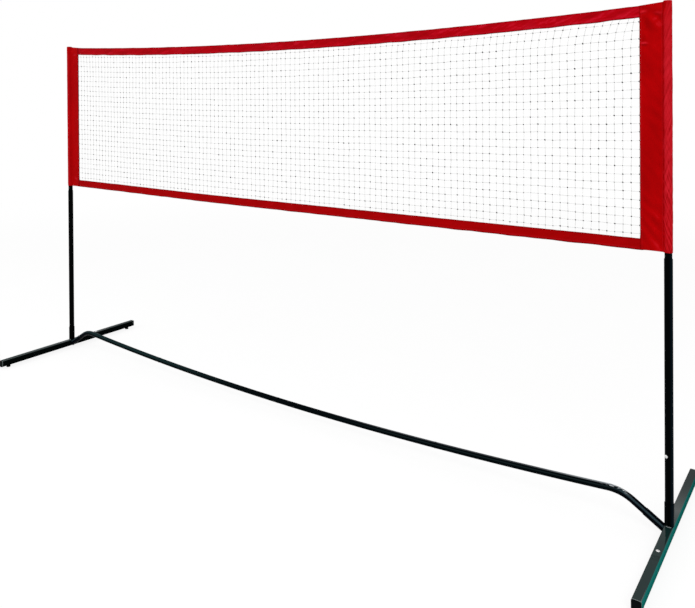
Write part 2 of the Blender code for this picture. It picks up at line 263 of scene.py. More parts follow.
def as_mesh(name, shape):
    """Turn a bmesh into a mesh and free it."""
    mesh = bpy.data.meshes.new(name)
    shape.to_mesh(mesh)
    shape.free()
    return mesh


def lamp(name, where, aim, width, power):
    """A wide soft lamp at one point, turned towards another."""
    data = bpy.data.lights.new(name, "AREA")
    data.shape = "SQUARE"
    data.size = width
    data.energy = power
    item = added(name, data)
    item.location = where
    item.rotation_euler = (Vector(aim) - Vector(where)).to_track_quat("-Z", "Y").to_euler()


world = bpy.data.worlds.new("studio")
bpy.context.scene.world = world
world.use_nodes = True
backdrop = world.node_tree.nodes["Background"]
backdrop.inputs["Color"].default_value = (1.0, 1.0, 1.0, 1.0)
sky_strength = ambient + (1.0 - ambient) * looked_at(world.node_tree)
world.node_tree.links.new(sky_strength.socket, backdrop.inputs["Strength"])

floor_finish = Finish("floor_white", None, {"Roughness": 0.9, "Specular IOR Level": 0.0})
floor_place = floor_finish.place()
floor_x, floor_y = floor_finish.axes(floor_place)[:2]
far_off = floor_finish.step(floor_x * floor_x + floor_y * floor_y, near_floor ** 2, far_floor ** 2)
paper = floor_finish.speckle(floor_place, 3.0)
floor_finish.set("Base Color", floor_finish.mix(paper, (0.90, 0.90, 0.90), (0.94, 0.94, 0.94)))
glow = floor_finish.mix(far_off, (1.06, 1.06, 1.06), (1.0, 1.0, 1.0))
white = floor_finish.node("Emission", None, {"Color": glow, "Strength": 1.0}, "Emission")
lit_floor = Value(floor_finish.tree, floor_finish.shader.outputs[0])
whiteness = looked_at(floor_finish.tree) * (near_whiteness + (1.0 - near_whiteness) * far_off)
blended = floor_finish.node("MixShader", None, {0: whiteness, 1: lit_floor, 2: white}, "Shader")
floor_finish.feed(floor_finish.tree.nodes["Material Output"].inputs["Surface"], blended)

floor_shape = bmesh.new()
bmesh.ops.create_grid(floor_shape, x_segments=2, y_segments=2, size=floor_half)
floor = added("floor", as_mesh("floor", floor_shape))
floor.data.materials.append(floor_finish.material)
floor.location.z = -floor_drop
floor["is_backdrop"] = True

lamp("key_lamp", (3.2, -3.4, 3.6), (0.4, 0.0, 0.6), 2.4, 95.0)
lamp("fill_lamp", (-3.4, -2.6, 2.8), (-0.4, 0.0, 0.7), 2.4, 40.0)

# %% [markdown]
# ## Sizes that several pieces share
#
# Both stands are the same part turned half round, so a stand's pieces are made in
# its own axes, with the post at the origin, and then placed on each side. The
# crossbar's line is needed by its paint as well as by its shape: it sags between
# two bends and then dives into stubs on the feet.

# %% Shared sizes
fit_gap = 0.0003
foot_low, foot_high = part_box("right_foot_bar")
foot_size = foot_high - foot_low
foot_middle = (foot_low + foot_high) / 2
foot_wall = 0.0015
foot_corner = 0.003
post_x = (foot_low.x + foot_high.x) / 2
stands = {
    "right": Matrix.Translation((post_x, 0, 0)),
    "left": Matrix.Translation((-post_x, 0, 0)) @ Matrix.Rotation(math.pi, 4, "Z"),
}
bar_radius = 0.0104
bar_middle_height = 0.050
bar_sag = 0.047
bend_x = post_x - 0.175
stub_angle = math.radians(32)
stub_axis_height = foot_middle.z - 0.0004
print("stands at x", round(post_x, 4), "and", round(-post_x, 4))
print("feet", [round(v, 4) for v in foot_size])

# %% [markdown]
# ## The finishes
#
# The frame is steel under black paint. On the posts and the crossbar it looks
# almost black, with some painted sheen and highlights; on the top of the feet a clear
# coat mirrors the white room over a painted grey-green reflection, and the outer
# faces of the feet carry a painted sea-green reflection. Paint is never quite flat, so
# a fine orange-peel bump and a slow change of roughness break up its reflections.

# %% Frame paint
def frame_paint(name, roughness, dark, light, constants):
    """Black paint with a slow haze and a few dust marks; gives the finish and its colour."""
    finish = Finish(name, "black_paint", {"Specular IOR Level": 0.004, **constants})
    place = finish.place()
    haze = finish.speckle(place, 35.0, 3.0)
    dust = finish.step(finish.speckle(place, 420.0, 3.0), 0.70, 0.78)
    colour = finish.mix(dust * 0.04, finish.mix(haze, dark, light), (0.03, 0.034, 0.034))
    finish.set("Base Color", colour)
    finish.set("Roughness", roughness + 0.10 * haze)
    finish.bump(finish.speckle(place, 900.0), 0.0001, 0.06)
    return finish, colour


# the side of each post that looks towards +X carries a painted navy reflection
post_paint, post_black = frame_paint("post_paint", 0.32, (0.0001, 0.0004, 0.0004), (0.0006, 0.0012, 0.0012),
                                     {"Coat Weight": 0.35, "Coat IOR": 1.10, "Coat Roughness": 0.14})
past_axis = post_paint.axes(post_paint.place())[0] - post_x
navy_reflection = post_paint.step(past_axis, 0.003, 0.011)
post_paint.set("Base Color", post_paint.mix(navy_reflection, post_black, (0.0005, 0.0040, 0.0066)))
# painted highlight: light grey welds for the thin line of light round each collar's foot
weld_highlight_paint = frame_paint("weld_highlight_paint", 0.30, (0.16, 0.18, 0.18), (0.34, 0.37, 0.37), {})[0]
print("paints", post_paint.material.name, weld_highlight_paint.material.name)

# %% [markdown]
# The crossbar's paint shows streaks that run along the tube, mostly painted sheen
# and highlights. How far a point lies over the bar's own axis tells them apart, and
# that axis follows the sag and then the dive, joined by a smooth minimum. The left
# half has a painted teal sheen on its upper side. The right half has a thin painted
# highlight along its middle and a painted grey highlight along its top, which grows
# brighter towards the bend. Past the bends the lower side is dark navy under a
# painted slate sheen, and the outside of each bend has pale streaks, partly scuffs
# and partly painted glints.

# %% Crossbar paint
bar_paint, bar_colour = frame_paint("bar_paint", 0.26, (0.0002, 0.0010, 0.0012), (0.0010, 0.0030, 0.0042),
                                    {"Coat IOR": 1.24, "Coat Roughness": 0.08})
bar_x, bar_y, bar_z = bar_paint.axes(bar_paint.place())
bar_end = abs(bar_x)
sag_line = bar_middle_height + bar_sag / bend_x ** 2 * bar_x * bar_x
dive_line = stub_axis_height + (foot_low.x - bar_end) * math.tan(stub_angle)
above_axis = bar_z - sag_line.math("SMOOTH_MIN", sag_line, dive_line, 0.034)
over = 0.90 * above_axis + 0.44 * bar_y
past_bend = bar_paint.step(bar_end, bend_x + 0.015, bend_x + 0.055)
bar_paint.set("Coat Weight", 0.02 + 0.06 * bar_paint.step(bar_end, bend_x - 0.135, bend_x + 0.005))

# painted sheen: teal on the upper side of the left half
leftward = bar_paint.step(0.0 - bar_x, 0.1, 0.9)
left_teal_sheen = bar_paint.step(above_axis, 0.000, 0.006) * leftward
bar_colour = bar_paint.mix(left_teal_sheen, bar_colour, (0.007, 0.020, 0.021))
rightward = bar_paint.step(bar_x, 0.1, 0.6)
on_right = rightward * (1 - past_bend) * 0.7
# painted highlight: a thin line along the middle of the right half
middle_highlight = bar_paint.stripe(over, (-0.0024, -0.0002), (0.0006, 0.0028))
bar_colour = bar_paint.mix(middle_highlight * on_right, bar_colour, (0.010, 0.019, 0.020))
# painted highlight: a grey line along the top of the right half, brighter towards the bend
near_bend = bar_paint.step(bar_end, bend_x - 0.275, bend_x - 0.075)
top_highlight_grey = bar_paint.mix(near_bend, (0.11, 0.12, 0.13), (0.36, 0.39, 0.41))
top_highlight = bar_paint.step(over, 0.0060, 0.0088)
bar_colour = bar_paint.mix(top_highlight * on_right, bar_colour, top_highlight_grey)

# past the bends: dark navy under a painted slate sheen along the middle
slate_sheen = bar_paint.stripe(over, (-0.0016, 0.0010), (0.0046, 0.0072))
navy_under_sheen = bar_paint.mix(slate_sheen, (0.0002, 0.0006, 0.0024), (0.023, 0.043, 0.052))
bar_colour = bar_paint.mix(past_bend * 0.9, bar_colour, navy_under_sheen)
# pale streaks on the outside of each bend: partly scuffs, partly painted glints
along_bar = bar_paint.node("Mapping", None, {"Vector": bar_paint.place(), "Scale": (80.0, 260.0, 200.0)})
scratch_and_glint_streaks = bar_paint.step(bar_paint.speckle(along_bar, 1.0, 3.0), 0.47, 0.60)
on_bend = bar_paint.stripe(bar_end, (bend_x - 0.025, bend_x + 0.007), (bend_x + 0.045, bend_x + 0.075))
scuffs_and_glints = scratch_and_glint_streaks * bar_paint.step(over, 0.0028, 0.0062) * on_bend * (0.2 + 0.8 * rightward)
bar_paint.set("Base Color", bar_paint.mix(scuffs_and_glints * 0.9, bar_colour, (0.60, 0.64, 0.67)))
print("paint", bar_paint.material.name, "follows the bar's axis")

# %% Foot paint
foot_paint, foot_black = frame_paint("foot_paint", 0.26, (0.0006, 0.0014, 0.0014), (0.0018, 0.0032, 0.0032),
                                     {"Specular IOR Level": 0.0, "Coat IOR": 1.39, "Coat Roughness": 0.06})
foot_x, foot_y, foot_z = foot_paint.axes(foot_paint.place())
top = foot_paint.step(foot_z, foot_high.z - 0.0018, foot_high.z - 0.0004)
# painted reflection: the top face is a lighter grey-green, for the room that it mirrors
colour = foot_paint.mix(top, foot_black, (0.0060, 0.0210, 0.0200))
# painted reflection: the outer faces are sea green, lighter towards the top
outer = foot_paint.step(abs(foot_x), foot_high.x - 0.0012, foot_high.x - 0.0006)
sea_green_reflection = foot_paint.mix(foot_paint.step(foot_z, 0.016, 0.036), (0.002, 0.132, 0.112), (0.012, 0.160, 0.142))
colour = foot_paint.mix(outer, colour, sea_green_reflection)
# a pale rim round the tube's open ends: partly worn bare edge, partly painted highlight
rim_wear_and_highlight = foot_paint.step(abs(foot_y), foot_high.y - 0.0016, foot_high.y - 0.0010)
foot_paint.set("Base Color", foot_paint.mix(rim_wear_and_highlight * 0.8, colour, (0.30, 0.35, 0.35)))
foot_paint.set("Coat Weight", top * (0.95 - 0.80 * foot_paint.step(foot_y, -0.20, 0.30)))
print("paint", foot_paint.material.name, "mirrors the room on top")

# %% [markdown]
# Plastic plugs have a fine spark-eroded grain, rubber pads are duller and dusty,
# and the buttons and rivets are bright steel with fine turning marks.

# %% Plastic, rubber and steel
def grained(name, slot, dark, light, roughness, grain, depth):
    """A dull moulded surface with a grain of its own."""
    finish = Finish(name, slot, {"Specular IOR Level": 0.02})
    place = finish.place()
    cloud = finish.speckle(place, 60.0, 4.0)
    finish.set("Base Color", finish.mix(cloud, dark, light))
    finish.set("Roughness", roughness + 0.12 * cloud)
    finish.bump(finish.speckle(place, grain, 4.0), depth, 0.5)
    return finish


plug_plastic = grained("plug_plastic", "black_plastic", (0.0010, 0.0024, 0.0028), (0.0028, 0.0048, 0.0052),
                       0.42, 1400.0, 0.0001)
pad_rubber = grained("pad_rubber", "black_rubber", (0.0020, 0.0024, 0.0024), (0.0080, 0.0084, 0.0084),
                     0.72, 700.0, 0.0003)

bright_steel = Finish("polished_steel", "bright_steel", {"Metallic": 1.0})
ringwise = bright_steel.node("Mapping", None, {"Vector": bright_steel.place(), "Scale": (1.0, 1.0, 14.0)})
marks = bright_steel.speckle(ringwise, 300.0)
bright_steel.set("Base Color", bright_steel.mix(marks, (0.58, 0.58, 0.57), (0.80, 0.80, 0.79)))
bright_steel.set("Roughness", 0.20 + 0.18 * marks)
bright_steel.bump(marks, 0.00005, 0.4)
print("finishes", plug_plastic.material.name, pad_rubber.material.name, bright_steel.material.name)

# %% [markdown]
# The cloth is a thin, slightly shiny red fabric. Its pattern must follow the cloth
# and not the room, so it reads the cloth's own map, which is laid out in metres:
# across the strip first, and then along it. The weave is a plain one, with threads
# going over and under. Three numbers come with each point of the cloth, all of them
# painted light and shade: `lit` says how far a fold faces up to the light and sets
# its painted light and shade, the second marks a painted paler, pinker sheen where
# the cloth is stretched round a tube and on creases, and the third marks painted
# shade where the cloth is doubled at its edges.

# %% Red cloth
# painted light and shade, painted pink sheen and painted edge shade
masks = ("lit", "painted_sheen", "edge_shade")


def red_cloth(name, deep, bright, pale, edge, thread, stitch_rows, stitch_length):
    """Woven cloth with painted light, shade and sheen; stitch_rows are the places of its seams across the
    strip.
    """
    finish = Finish(name, "red_cloth", {"Specular IOR Level": 0.015})
    cloth = finish.node("UVMap", {"uv_map": "cloth"})
    u, v = finish.axes(cloth)[:2]
    slanting = finish.node("Mapping", None, {"Vector": finish.place(), "Scale": (5.0, 5.0, 2.2),
                                             "Rotation": (0.0, 0.5, 0.0)})
    cloud = finish.speckle(slanting, 2.4, 3.0)
    lit, painted_sheen, edge_shade = [finish.node("Attribute", {"attribute_name": mask}, out="Fac") for mask in masks]
    # painted light and shade of the folds, with a random cloud
    colour = finish.mix(0.75 * lit + 0.25 * finish.step(cloud, 0.30, 0.70), deep, bright)
    fleck = finish.speckle(cloth, 260.0, 3.0)
    # painted pink sheen where the cloth is stretched and on creases
    colour = finish.mix(painted_sheen * (0.10 + 0.20 * fleck + 0.80 * lit), colour, pale)
    # painted highlight on the folds that face the light most
    colour = finish.mix(finish.step(lit, 0.78, 1.0) * 0.30, colour, pale)
    # painted shade along the doubled edges
    colour = finish.mix(edge_shade, colour, edge)
    seam = 0.0
    stitches = 0.0
    for row in stitch_rows:
        near = 1 - finish.step(abs(u - row), 0.0002, 0.0008)
        dash = (v % stitch_length) < stitch_length * 0.66
        seam = near + seam
        stitches = near * dash + stitches
    warp = u.wave(2 * thread)
    weft = v.wave(2 * thread)
    weave = warp * weft + (1 - warp) * (1 - weft)
    colour = finish.mix(stitches * 0.5, colour, pale)
    finish.set("Base Color", finish.mix(weave * 0.12, colour, edge))
    finish.set("Roughness", 0.52 + 0.16 * fleck)
    finish.bump(weave * 0.25 + stitches * 0.8 - seam * 0.9, 0.0004, 0.45)
    return finish


print("cloth recipe ready, with masks", masks)

# %% [markdown]
# ## Making pieces
#
# A few helpers are used all the way down. `piece` turns a bmesh into an object,
# gives it its finish, hides the plain solid that it stands for and lets it ride.
# `turned` spins a profile of radius and height round Z; `softened` first cuts each
# corner of such a profile with a small curve, as a real edge is never sharp.

# %% Helpers
merge_distance = 0.000002


def piece(name, shape, finish, nodes=(), place=None, body="frame", sharp=40):
    """Store a bmesh as a finished piece that rides on a body and replaces some plain solids."""
    if place:
        bmesh.ops.transform(shape, matrix=place, verts=shape.verts)
    bmesh.ops.remove_doubles(shape, verts=shape.verts, dist=merge_distance)
    bmesh.ops.recalc_face_normals(shape, faces=shape.faces)
    mesh = as_mesh(name, shape)
    mesh.materials.append(finish.material)
    mesh.shade_smooth()
    mesh.set_sharp_from_angle(angle=math.radians(sharp))
    item = added(name, mesh)
    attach(item, body)
    if nodes:
        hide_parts(*nodes)
    return item


def softened(points, setback, closed=False, steps=3):
    """Cut each corner of a run of points with a small curve."""
    made = []
    count = len(points)
    for i, (x, z) in enumerate(points):
        here = Vector((x, z))
        if not closed and i in (0, count - 1):
            made.append((x, z))
            continue
        before = Vector(points[i - 1]) - here
        after = Vector(points[(i + 1) % count]) - here
        start = here + before.normalized() * min(setback, before.length * 0.45)
        end = here + after.normalized() * min(setback, after.length * 0.45)
        for k in range(steps + 1):
            t = k / steps
            made.append(tuple(start * (1 - t) ** 2 + here * 2 * t * (1 - t) + end * t ** 2))
    return made


def turned(points, steps=64, closed=False):
    """Spin a profile of (radius, height) points round Z."""
    shape = bmesh.new()
    verts = [shape.verts.new((radius, 0.0, height)) for radius, height in points]
    edges = [shape.edges.new(pair) for pair in zip(verts, verts[1:])]
    if closed:
        edges.append(shape.edges.new((verts[-1], verts[0])))
    bmesh.ops.spin(shape, geom=verts + edges, cent=(0, 0, 0), axis=(0, 0, 1), angle=2 * math.pi,
                   steps=steps, use_merge=True)
    bmesh.ops.remove_doubles(shape, verts=shape.verts, dist=merge_distance)
    return shape


def dome(radius, height, base, steps):
    """Profile of a low dome, from its top down to its edge."""
    angles = [math.pi / 2 * i / steps for i in range(steps + 1)]
    return [(radius * math.sin(a), base + height * math.cos(a)) for a in angles]


def smooth(value, low, high):
    """Rises smoothly from 0 to 1 as the value goes from low to high."""
    t = min(1.0, max(0.0, (value - low) / (high - low)))
    return t * t * (3 - 2 * t)


def soft_noise(x, y, seed):
    """A smooth number between about -1 and 1 that changes with two lengths."""
    return noise.noise(Vector((x, y, seed)))


print("helpers ready, merging points nearer than", merge_distance, "m")

# %% [markdown]
# ## The feet
#
# A foot is a length of square steel tube with rounded long edges. A cube stretched
# to size and bevelled gives the outside; its two end faces go, and Solidify then
# gives the open tube its wall, so that the mouth round each plug is real.

# %% Foot tubes
def square_bar(width, length, height):
    """A bar along Y with rounded long edges, centred on the origin."""
    shape = bmesh.new()
    bmesh.ops.create_cube(shape, size=1.0, matrix=Matrix.Diagonal((width, length, height, 1.0)))
    runs = [e for e in shape.edges if abs(e.verts[0].co.y - e.verts[1].co.y) > length / 2]
    bmesh.ops.bevel(shape, geom=runs, offset=foot_corner, segments=6, profile=0.5, affect="EDGES",
                    material=-1)
    return shape


def thicken(item, thickness, offset):
    """Give an open surface a wall with Solidify."""
    wall = item.modifiers.new("wall", "SOLIDIFY")
    wall.thickness = thickness
    wall.offset = offset


for side, place in stands.items():
    tube = square_bar(*foot_size)
    ends = [f for f in tube.faces if abs(f.normal.y) > 0.9]
    bmesh.ops.delete(tube, geom=ends, context="FACES")
    bmesh.ops.translate(tube, verts=tube.verts, vec=(0, 0, foot_middle.z))
    thicken(piece(side + "_foot_tube", tube, foot_paint, [side + "_foot_bar"], place), foot_wall, -1)
print("foot walls", round(foot_wall * 1000, 1), "mm")

# %% [markdown]
# ## End plugs, pads and rivets
#
# The plug is a moulded cap: a flange as large as the tube, with a body inside it.
# Its outer rim is softened with a bevel, so that it catches a thin line of light.
# A pad is a turned rubber disc with a groove, and the rivet a low turned dome with
# a flat rim.

# %% Plugs
plug_low, plug_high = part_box("right_end_plug_back")
plug_flange = cad_high.y - foot_high.y - fit_gap
plug_depth = plug_high.y - plug_low.y - plug_flange
plug_edge = 0.0009


def end_plug():
    """A plug for the +Y end, with its flange's outer face at y = 0."""
    shape = square_bar(foot_size.x, plug_flange, foot_size.z)
    outer = max(shape.faces, key=lambda face: face.calc_center_median().y)
    bmesh.ops.bevel(shape, geom=list(outer.edges), offset=plug_edge, segments=3, profile=0.5,
                    affect="EDGES", material=-1)
    inner = min(shape.faces, key=lambda face: face.calc_center_median().y)
    bmesh.ops.inset_region(shape, faces=[inner], thickness=foot_wall + fit_gap, use_even_offset=True)
    made = bmesh.ops.extrude_face_region(shape, geom=[inner])
    moved = [v for v in made["geom"] if isinstance(v, bmesh.types.BMVert)]
    bmesh.ops.translate(shape, verts=moved, vec=(0, -plug_depth, 0))
    bmesh.ops.delete(shape, geom=[inner], context="FACES")
    bmesh.ops.translate(shape, verts=shape.verts, vec=(0, -plug_flange / 2, 0))
    return shape


def side_end(side, sign):
    """The name, front or back in the room, of a stand's own end towards sign * Y."""
    turned_round = side == "left"
    return "front" if (sign < 0) != turned_round else "back"


for side, place in stands.items():
    for sign in (-1, 1):
        node = side + "_end_plug_" + side_end(side, sign)
        turn = Matrix.Rotation(0.0 if sign > 0 else math.pi, 4, "Z")
        spot = Matrix.Translation((0, sign * cad_high.y, foot_middle.z)) @ turn
        piece(node + "_moulded", end_plug(), plug_plastic, [node], place @ spot)
print("plug flange", round(plug_flange * 1000, 2), "mm thick")

# %% Pads and rivets
pad_low, pad_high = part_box("right_pad_front")
pad_y = abs((pad_low.y + pad_high.y) / 2)
pad_radius = (pad_high.x - pad_low.x) / 2
pad_top = foot_low.z - fit_gap
barb_radius = 0.0046
stem_radius = 0.0035
groove_depth = 0.0010
pad_profile = [
    (0.0, pad_high.z),
    (0.0024, pad_high.z),
    (barb_radius, pad_high.z - 0.0030),
    (stem_radius, foot_low.z + 0.0018),
    (stem_radius, pad_top),
    (pad_radius - 0.0006, pad_top),
    (pad_radius - 0.0002, pad_top * 0.62),
    (pad_radius - groove_depth, pad_top * 0.56),
    (pad_radius - groove_depth, pad_top * 0.44),
    (pad_radius, pad_top * 0.38),
    (pad_radius, 0.0),
    (0.0, 0.0),
]
rivet_low, rivet_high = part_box("right_foot_rivet")
rivet_radius = (rivet_high.x - rivet_low.x) / 2
rivet_y = (rivet_low.y + rivet_high.y) / 2
shank_radius = 0.0025
head_base = foot_high.z + fit_gap
dome_base = head_base + 0.0007
tail_top = foot_high.z - foot_wall - fit_gap
rivet_profile = dome(rivet_radius * 0.86, rivet_high.z - dome_base, dome_base, 8) + [
    (rivet_radius, head_base + 0.0006),
    (rivet_radius, head_base),
    (shank_radius, head_base),
    (shank_radius, tail_top),
    (0.0040, tail_top),
    (0.0036, rivet_low.z),
    (0.0, rivet_low.z),
]
for side, place in stands.items():
    for sign in (-1, 1):
        node = side + "_pad_" + side_end(side, sign)
        pad = turned(softened(pad_profile, 0.0008), 40)
        piece(node + "_rubber", pad, pad_rubber, [node], place @ Matrix.Translation((0, sign * pad_y, 0)))
    piece(side + "_rivet_head", turned(rivet_profile, 32), bright_steel, [side + "_foot_rivet"],
          place @ Matrix.Translation((0, rivet_y, 0)))
print("pads", round(2000 * pad_radius, 1), "mm and rivets", round(2000 * rivet_radius, 1), "mm across")

# %% [markdown]
# ## Collars, stubs and their welds
#
# The post stands on a collar welded to the foot, and the crossbar enters a slanted
# stub welded to the foot's inner side. A turned ring with softened edges makes the
# collar. The stub is the same kind of ring, laid over and then cut flat against the
# foot by a bisecting plane. A weld is a lumpy bead along the joint: a small circle
# swept round, whose rings swell and shrink.

# %% Collars and stubs
collar_low, collar_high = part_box("right_post_collar")
collar_radius = (collar_high.y - collar_low.y) / 2
collar_bore = 0.0108
stub_radius = 0.0116
stub_bore = 0.0107
stub_length = 0.065


def tube_ring(outer, inner, heights, edge):
    """An upright tube with softened mouths and a ring at each height, given from the top down."""
    profile = [(outer, z) for z in heights] + [(inner, z) for z in reversed(heights)]
    return turned(softened(profile, edge, closed=True), closed=True)


stub_lean = Matrix.Rotation(-(math.pi / 2 - stub_angle), 4, "Y")
stub_spot = Matrix.Translation((-foot_size.x / 2, 0, stub_axis_height))
stub_face = -foot_size.x / 2 - fit_gap
for side, place in stands.items():
    collar = tube_ring(collar_radius, collar_bore, [collar_high.z, collar_low.z], 0.0009)
    piece(side + "_collar_tube", collar, post_paint, [side + "_post_collar"], place)
    stub = tube_ring(stub_radius, stub_bore, [stub_length, -2 * stub_radius], 0.0007)
    bmesh.ops.transform(stub, matrix=stub_spot @ stub_lean, verts=stub.verts)
    bmesh.ops.bisect_plane(stub, geom=stub.verts[:] + stub.edges[:] + stub.faces[:], dist=0.0000001,
                           plane_co=(stub_face, 0, 0), plane_no=(1, 0, 0), clear_outer=True)
    bmesh.ops.bridge_loops(stub, edges=[e for e in stub.edges if e.is_boundary])
    piece(side + "_stub_tube", stub, bar_paint, [side + "_crossbar_stub"], place)
print("collar", round(collar_radius * 2000, 1), "mm and stub", round(stub_radius * 2000, 1), "mm across")

# %% Weld beads
collar_weld_sweep = 1.1


def weld_bead(radius, bead, start, sweep, steps, seed):
    """A lumpy bead round part of a circle in the XY plane."""
    shape = bmesh.new()
    upright = Matrix.Translation((radius, 0, 0)) @ Matrix.Rotation(math.pi / 2, 4, "X")
    made = bmesh.ops.create_circle(shape, cap_ends=False, segments=10, radius=bead, matrix=upright)
    bmesh.ops.rotate(shape, verts=made["verts"], cent=(0, 0, 0), matrix=Matrix.Rotation(start, 3, "Z"))
    bmesh.ops.spin(shape, geom=shape.verts[:] + shape.edges[:], cent=(0, 0, 0), axis=(0, 0, 1),
                   angle=sweep, steps=steps)
    for vert in shape.verts:
        angle = math.atan2(vert.co.y, vert.co.x)
        spine = Vector((math.cos(angle), math.sin(angle), 0)) * radius
        swell = 1.0 + 0.16 * math.cos(angle * 46) + 0.18 * soft_noise(angle * 4, 0, seed)
        vert.co = spine + (vert.co - spine) * swell
    bmesh.ops.holes_fill(shape, edges=[e for e in shape.edges if e.is_boundary], sides=0)
    return shape


stretch = Matrix.Diagonal((1 / math.cos(stub_angle), 1.0, 1.0, 1.0))
stub_weld_spot = (Matrix.Translation((-foot_size.x / 2 - 0.0004, 0, stub_axis_height))
                  @ Matrix.Rotation(-math.pi / 2, 4, "Y") @ stretch)
for side, place in stands.items():
    for name, middle, seed in (("front", -math.pi / 2, 3.0), ("back", math.pi / 2, 7.0)):
        start = middle - collar_weld_sweep / 2
        bead = weld_bead(collar_radius, 0.0012, start, collar_weld_sweep, 60, seed)
        bmesh.ops.translate(bead, verts=bead.verts, vec=(0, 0, foot_high.z + 0.0004))
        piece(side + "_collar_weld_" + name, bead, weld_highlight_paint, (), place)
    bead = weld_bead(stub_radius, 0.0011, 0.0, 2 * math.pi - 0.001, 120, 5.0)
    piece(side + "_stub_weld", bead, bar_paint, (), place @ stub_weld_spot)
print("welds added on both stands")

# %% [markdown]
# ## Posts
#
# The lower tube stands on the collar and the narrower upper tube slides in it, so
# the step between them shows just under the sleeve. Both are turned rings with
# rolled mouths. The lower tube has a real hole for the snap button, cut with a
# Boolean and applied, and extra rings in its profile keep the cut's faces short.

# %% Lower and upper tubes
lower_low, lower_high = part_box("right_lower_post")
upper_low, upper_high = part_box("right_upper_post")
post_radius = (lower_high.y - lower_low.y) / 2
lower_wall = 0.0012
upper_radius = (upper_high.y - upper_low.y) / 2
upper_wall = 0.001
button_low, button_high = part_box("right_snap_button")
button_height = (button_low.z + button_high.z) / 2
button_angle = math.radians(60)
button_radius = 0.005
button_turn = Matrix.Translation((0, 0, button_height)) @ Matrix.Rotation(button_angle, 4, "Z")
button_axis = button_turn @ Matrix.Rotation(-math.pi / 2, 4, "Y")


def evaluated_mesh(item):
    """The mesh of an object as its modifiers or its bevel leave it."""
    bpy.context.view_layer.update()
    return bpy.data.meshes.new_from_object(item.evaluated_get(bpy.context.evaluated_depsgraph_get()))


def cut(item, cutter):
    """Subtract one object from another, keep the result as the piece's mesh and remove the cutter."""
    modifier = item.modifiers.new("hole", "BOOLEAN")
    modifier.operation = "DIFFERENCE"
    modifier.object = cutter
    modifier.solver = "EXACT"
    mesh = evaluated_mesh(item)
    item.modifiers.remove(modifier)
    item.data = mesh
    bpy.data.objects.remove(cutter)


def button_cutter(place):
    """A round rod through the post's wall on the button's side."""
    shape = bmesh.new()
    radius = button_radius + fit_gap
    bmesh.ops.create_cone(shape, cap_ends=True, segments=40, radius1=radius, radius2=radius,
                          depth=2 * post_radius)
    aside = Matrix.Translation((0, 0, post_radius))
    bmesh.ops.transform(shape, matrix=place @ button_axis @ aside, verts=shape.verts)
    return added("button_cutter", as_mesh("button_cutter", shape))


lower_heights = [lower_high.z, button_height + 0.010, button_height - 0.010, lower_low.z]
for side, place in stands.items():
    lower = tube_ring(post_radius, post_radius - lower_wall, lower_heights, 0.0006)
    cut(piece(side + "_lower_tube", lower, post_paint, [side + "_lower_post"], place), button_cutter(place))
    upper = tube_ring(upper_radius, upper_radius - upper_wall, [upper_high.z, upper_low.z], 0.0005)
    piece(side + "_upper_tube", upper, post_paint, [side + "_upper_post"], place, side + "_upper_post")
print("posts", round(post_radius * 2000, 1), "and", round(upper_radius * 2000, 1), "mm across")

# %% [markdown]
# The snap button is a small steel pin with a domed head that a V spring pushes
# out of the post, and the joint presses it in. The pieces hidden in the tubes keep
# their plain solids and only get a better finish.

# %% Buttons and hidden pieces
button_tip = post_radius + 0.0022
button_dome = 0.0018
flange_back = 0.0052
flange_front = flange_back + 0.0010
flange_radius = button_radius + 0.0012
button_profile = dome(button_radius, button_dome, button_tip - button_dome, 10) + [
    (button_radius, flange_front),
    (flange_radius, flange_front),
    (flange_radius, flange_back),
    (0.0, flange_back),
]
kept = {"_post_spigot": post_paint, "_stop_plug": plug_plastic, "_post_cap": plug_plastic}
for side, place in stands.items():
    button = turned(softened(button_profile, 0.0002), 40)
    piece(side + "_button_pin", button, bright_steel, [side + "_snap_button"], place @ button_axis,
          side + "_button")
    for ending, finish in kept.items():
        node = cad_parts[side + ending]
        node.data.materials.clear()
        node.data.materials.append(finish.material)
print("hidden pieces refinished:", len(kept) * len(stands))

# %% [markdown]
# The V spring is a bent steel strip inside the post. One leg lies behind the button
# and the other against the far wall. Its first edge is extruded along the bend, and
# Solidify gives the strip its thickness. A real spring closes when the button goes in.

# %% V springs
spring_width = 0.007
spring_thickness = 0.0008
spring_bend = 0.0025
spring_bottom = button_height - 0.050
leg_reach = 0.0077
near_leg = -(flange_back - fit_gap - spring_thickness / 2)
far_leg = 0.0076
spring_path = [(far_leg, button_height + leg_reach), (far_leg, spring_bottom)]
for i in range(1, 13):
    bend = math.pi * i / 12
    spring_path.append((far_leg - spring_bend * (1 - math.cos(bend)),
                        spring_bottom - spring_bend * math.sin(bend)))
spring_path += [(near_leg, button_height - leg_reach), (near_leg, button_height + leg_reach)]


def bent_strip(path, width):
    """A strip that lies along Y, extruded edge by edge through (x, z) points."""
    shape = bmesh.new()
    x, z = path[0]
    edge = shape.edges.new([shape.verts.new((x, half, z)) for half in (-width / 2, width / 2)])
    for (x0, z0), (x1, z1) in zip(path, path[1:]):
        made = bmesh.ops.extrude_edge_only(shape, edges=[edge])
        moved = [v for v in made["geom"] if isinstance(v, bmesh.types.BMVert)]
        edge = next(e for e in shape.edges if set(e.verts) == set(moved))
        bmesh.ops.translate(shape, verts=moved, vec=(x1 - x0, 0, z1 - z0))
    return shape


for side, place in stands.items():
    turn = place @ Matrix.Rotation(button_angle, 4, "Z")
    strip = bent_strip(spring_path, spring_width)
    spring = piece(side + "_v_spring_strip", strip, bright_steel, [side + "_v_spring"], turn)
    thicken(spring, spring_thickness, 0)
    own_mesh(spring)
print("spring legs", round((far_leg - near_leg) * 1000, 1), "mm apart")

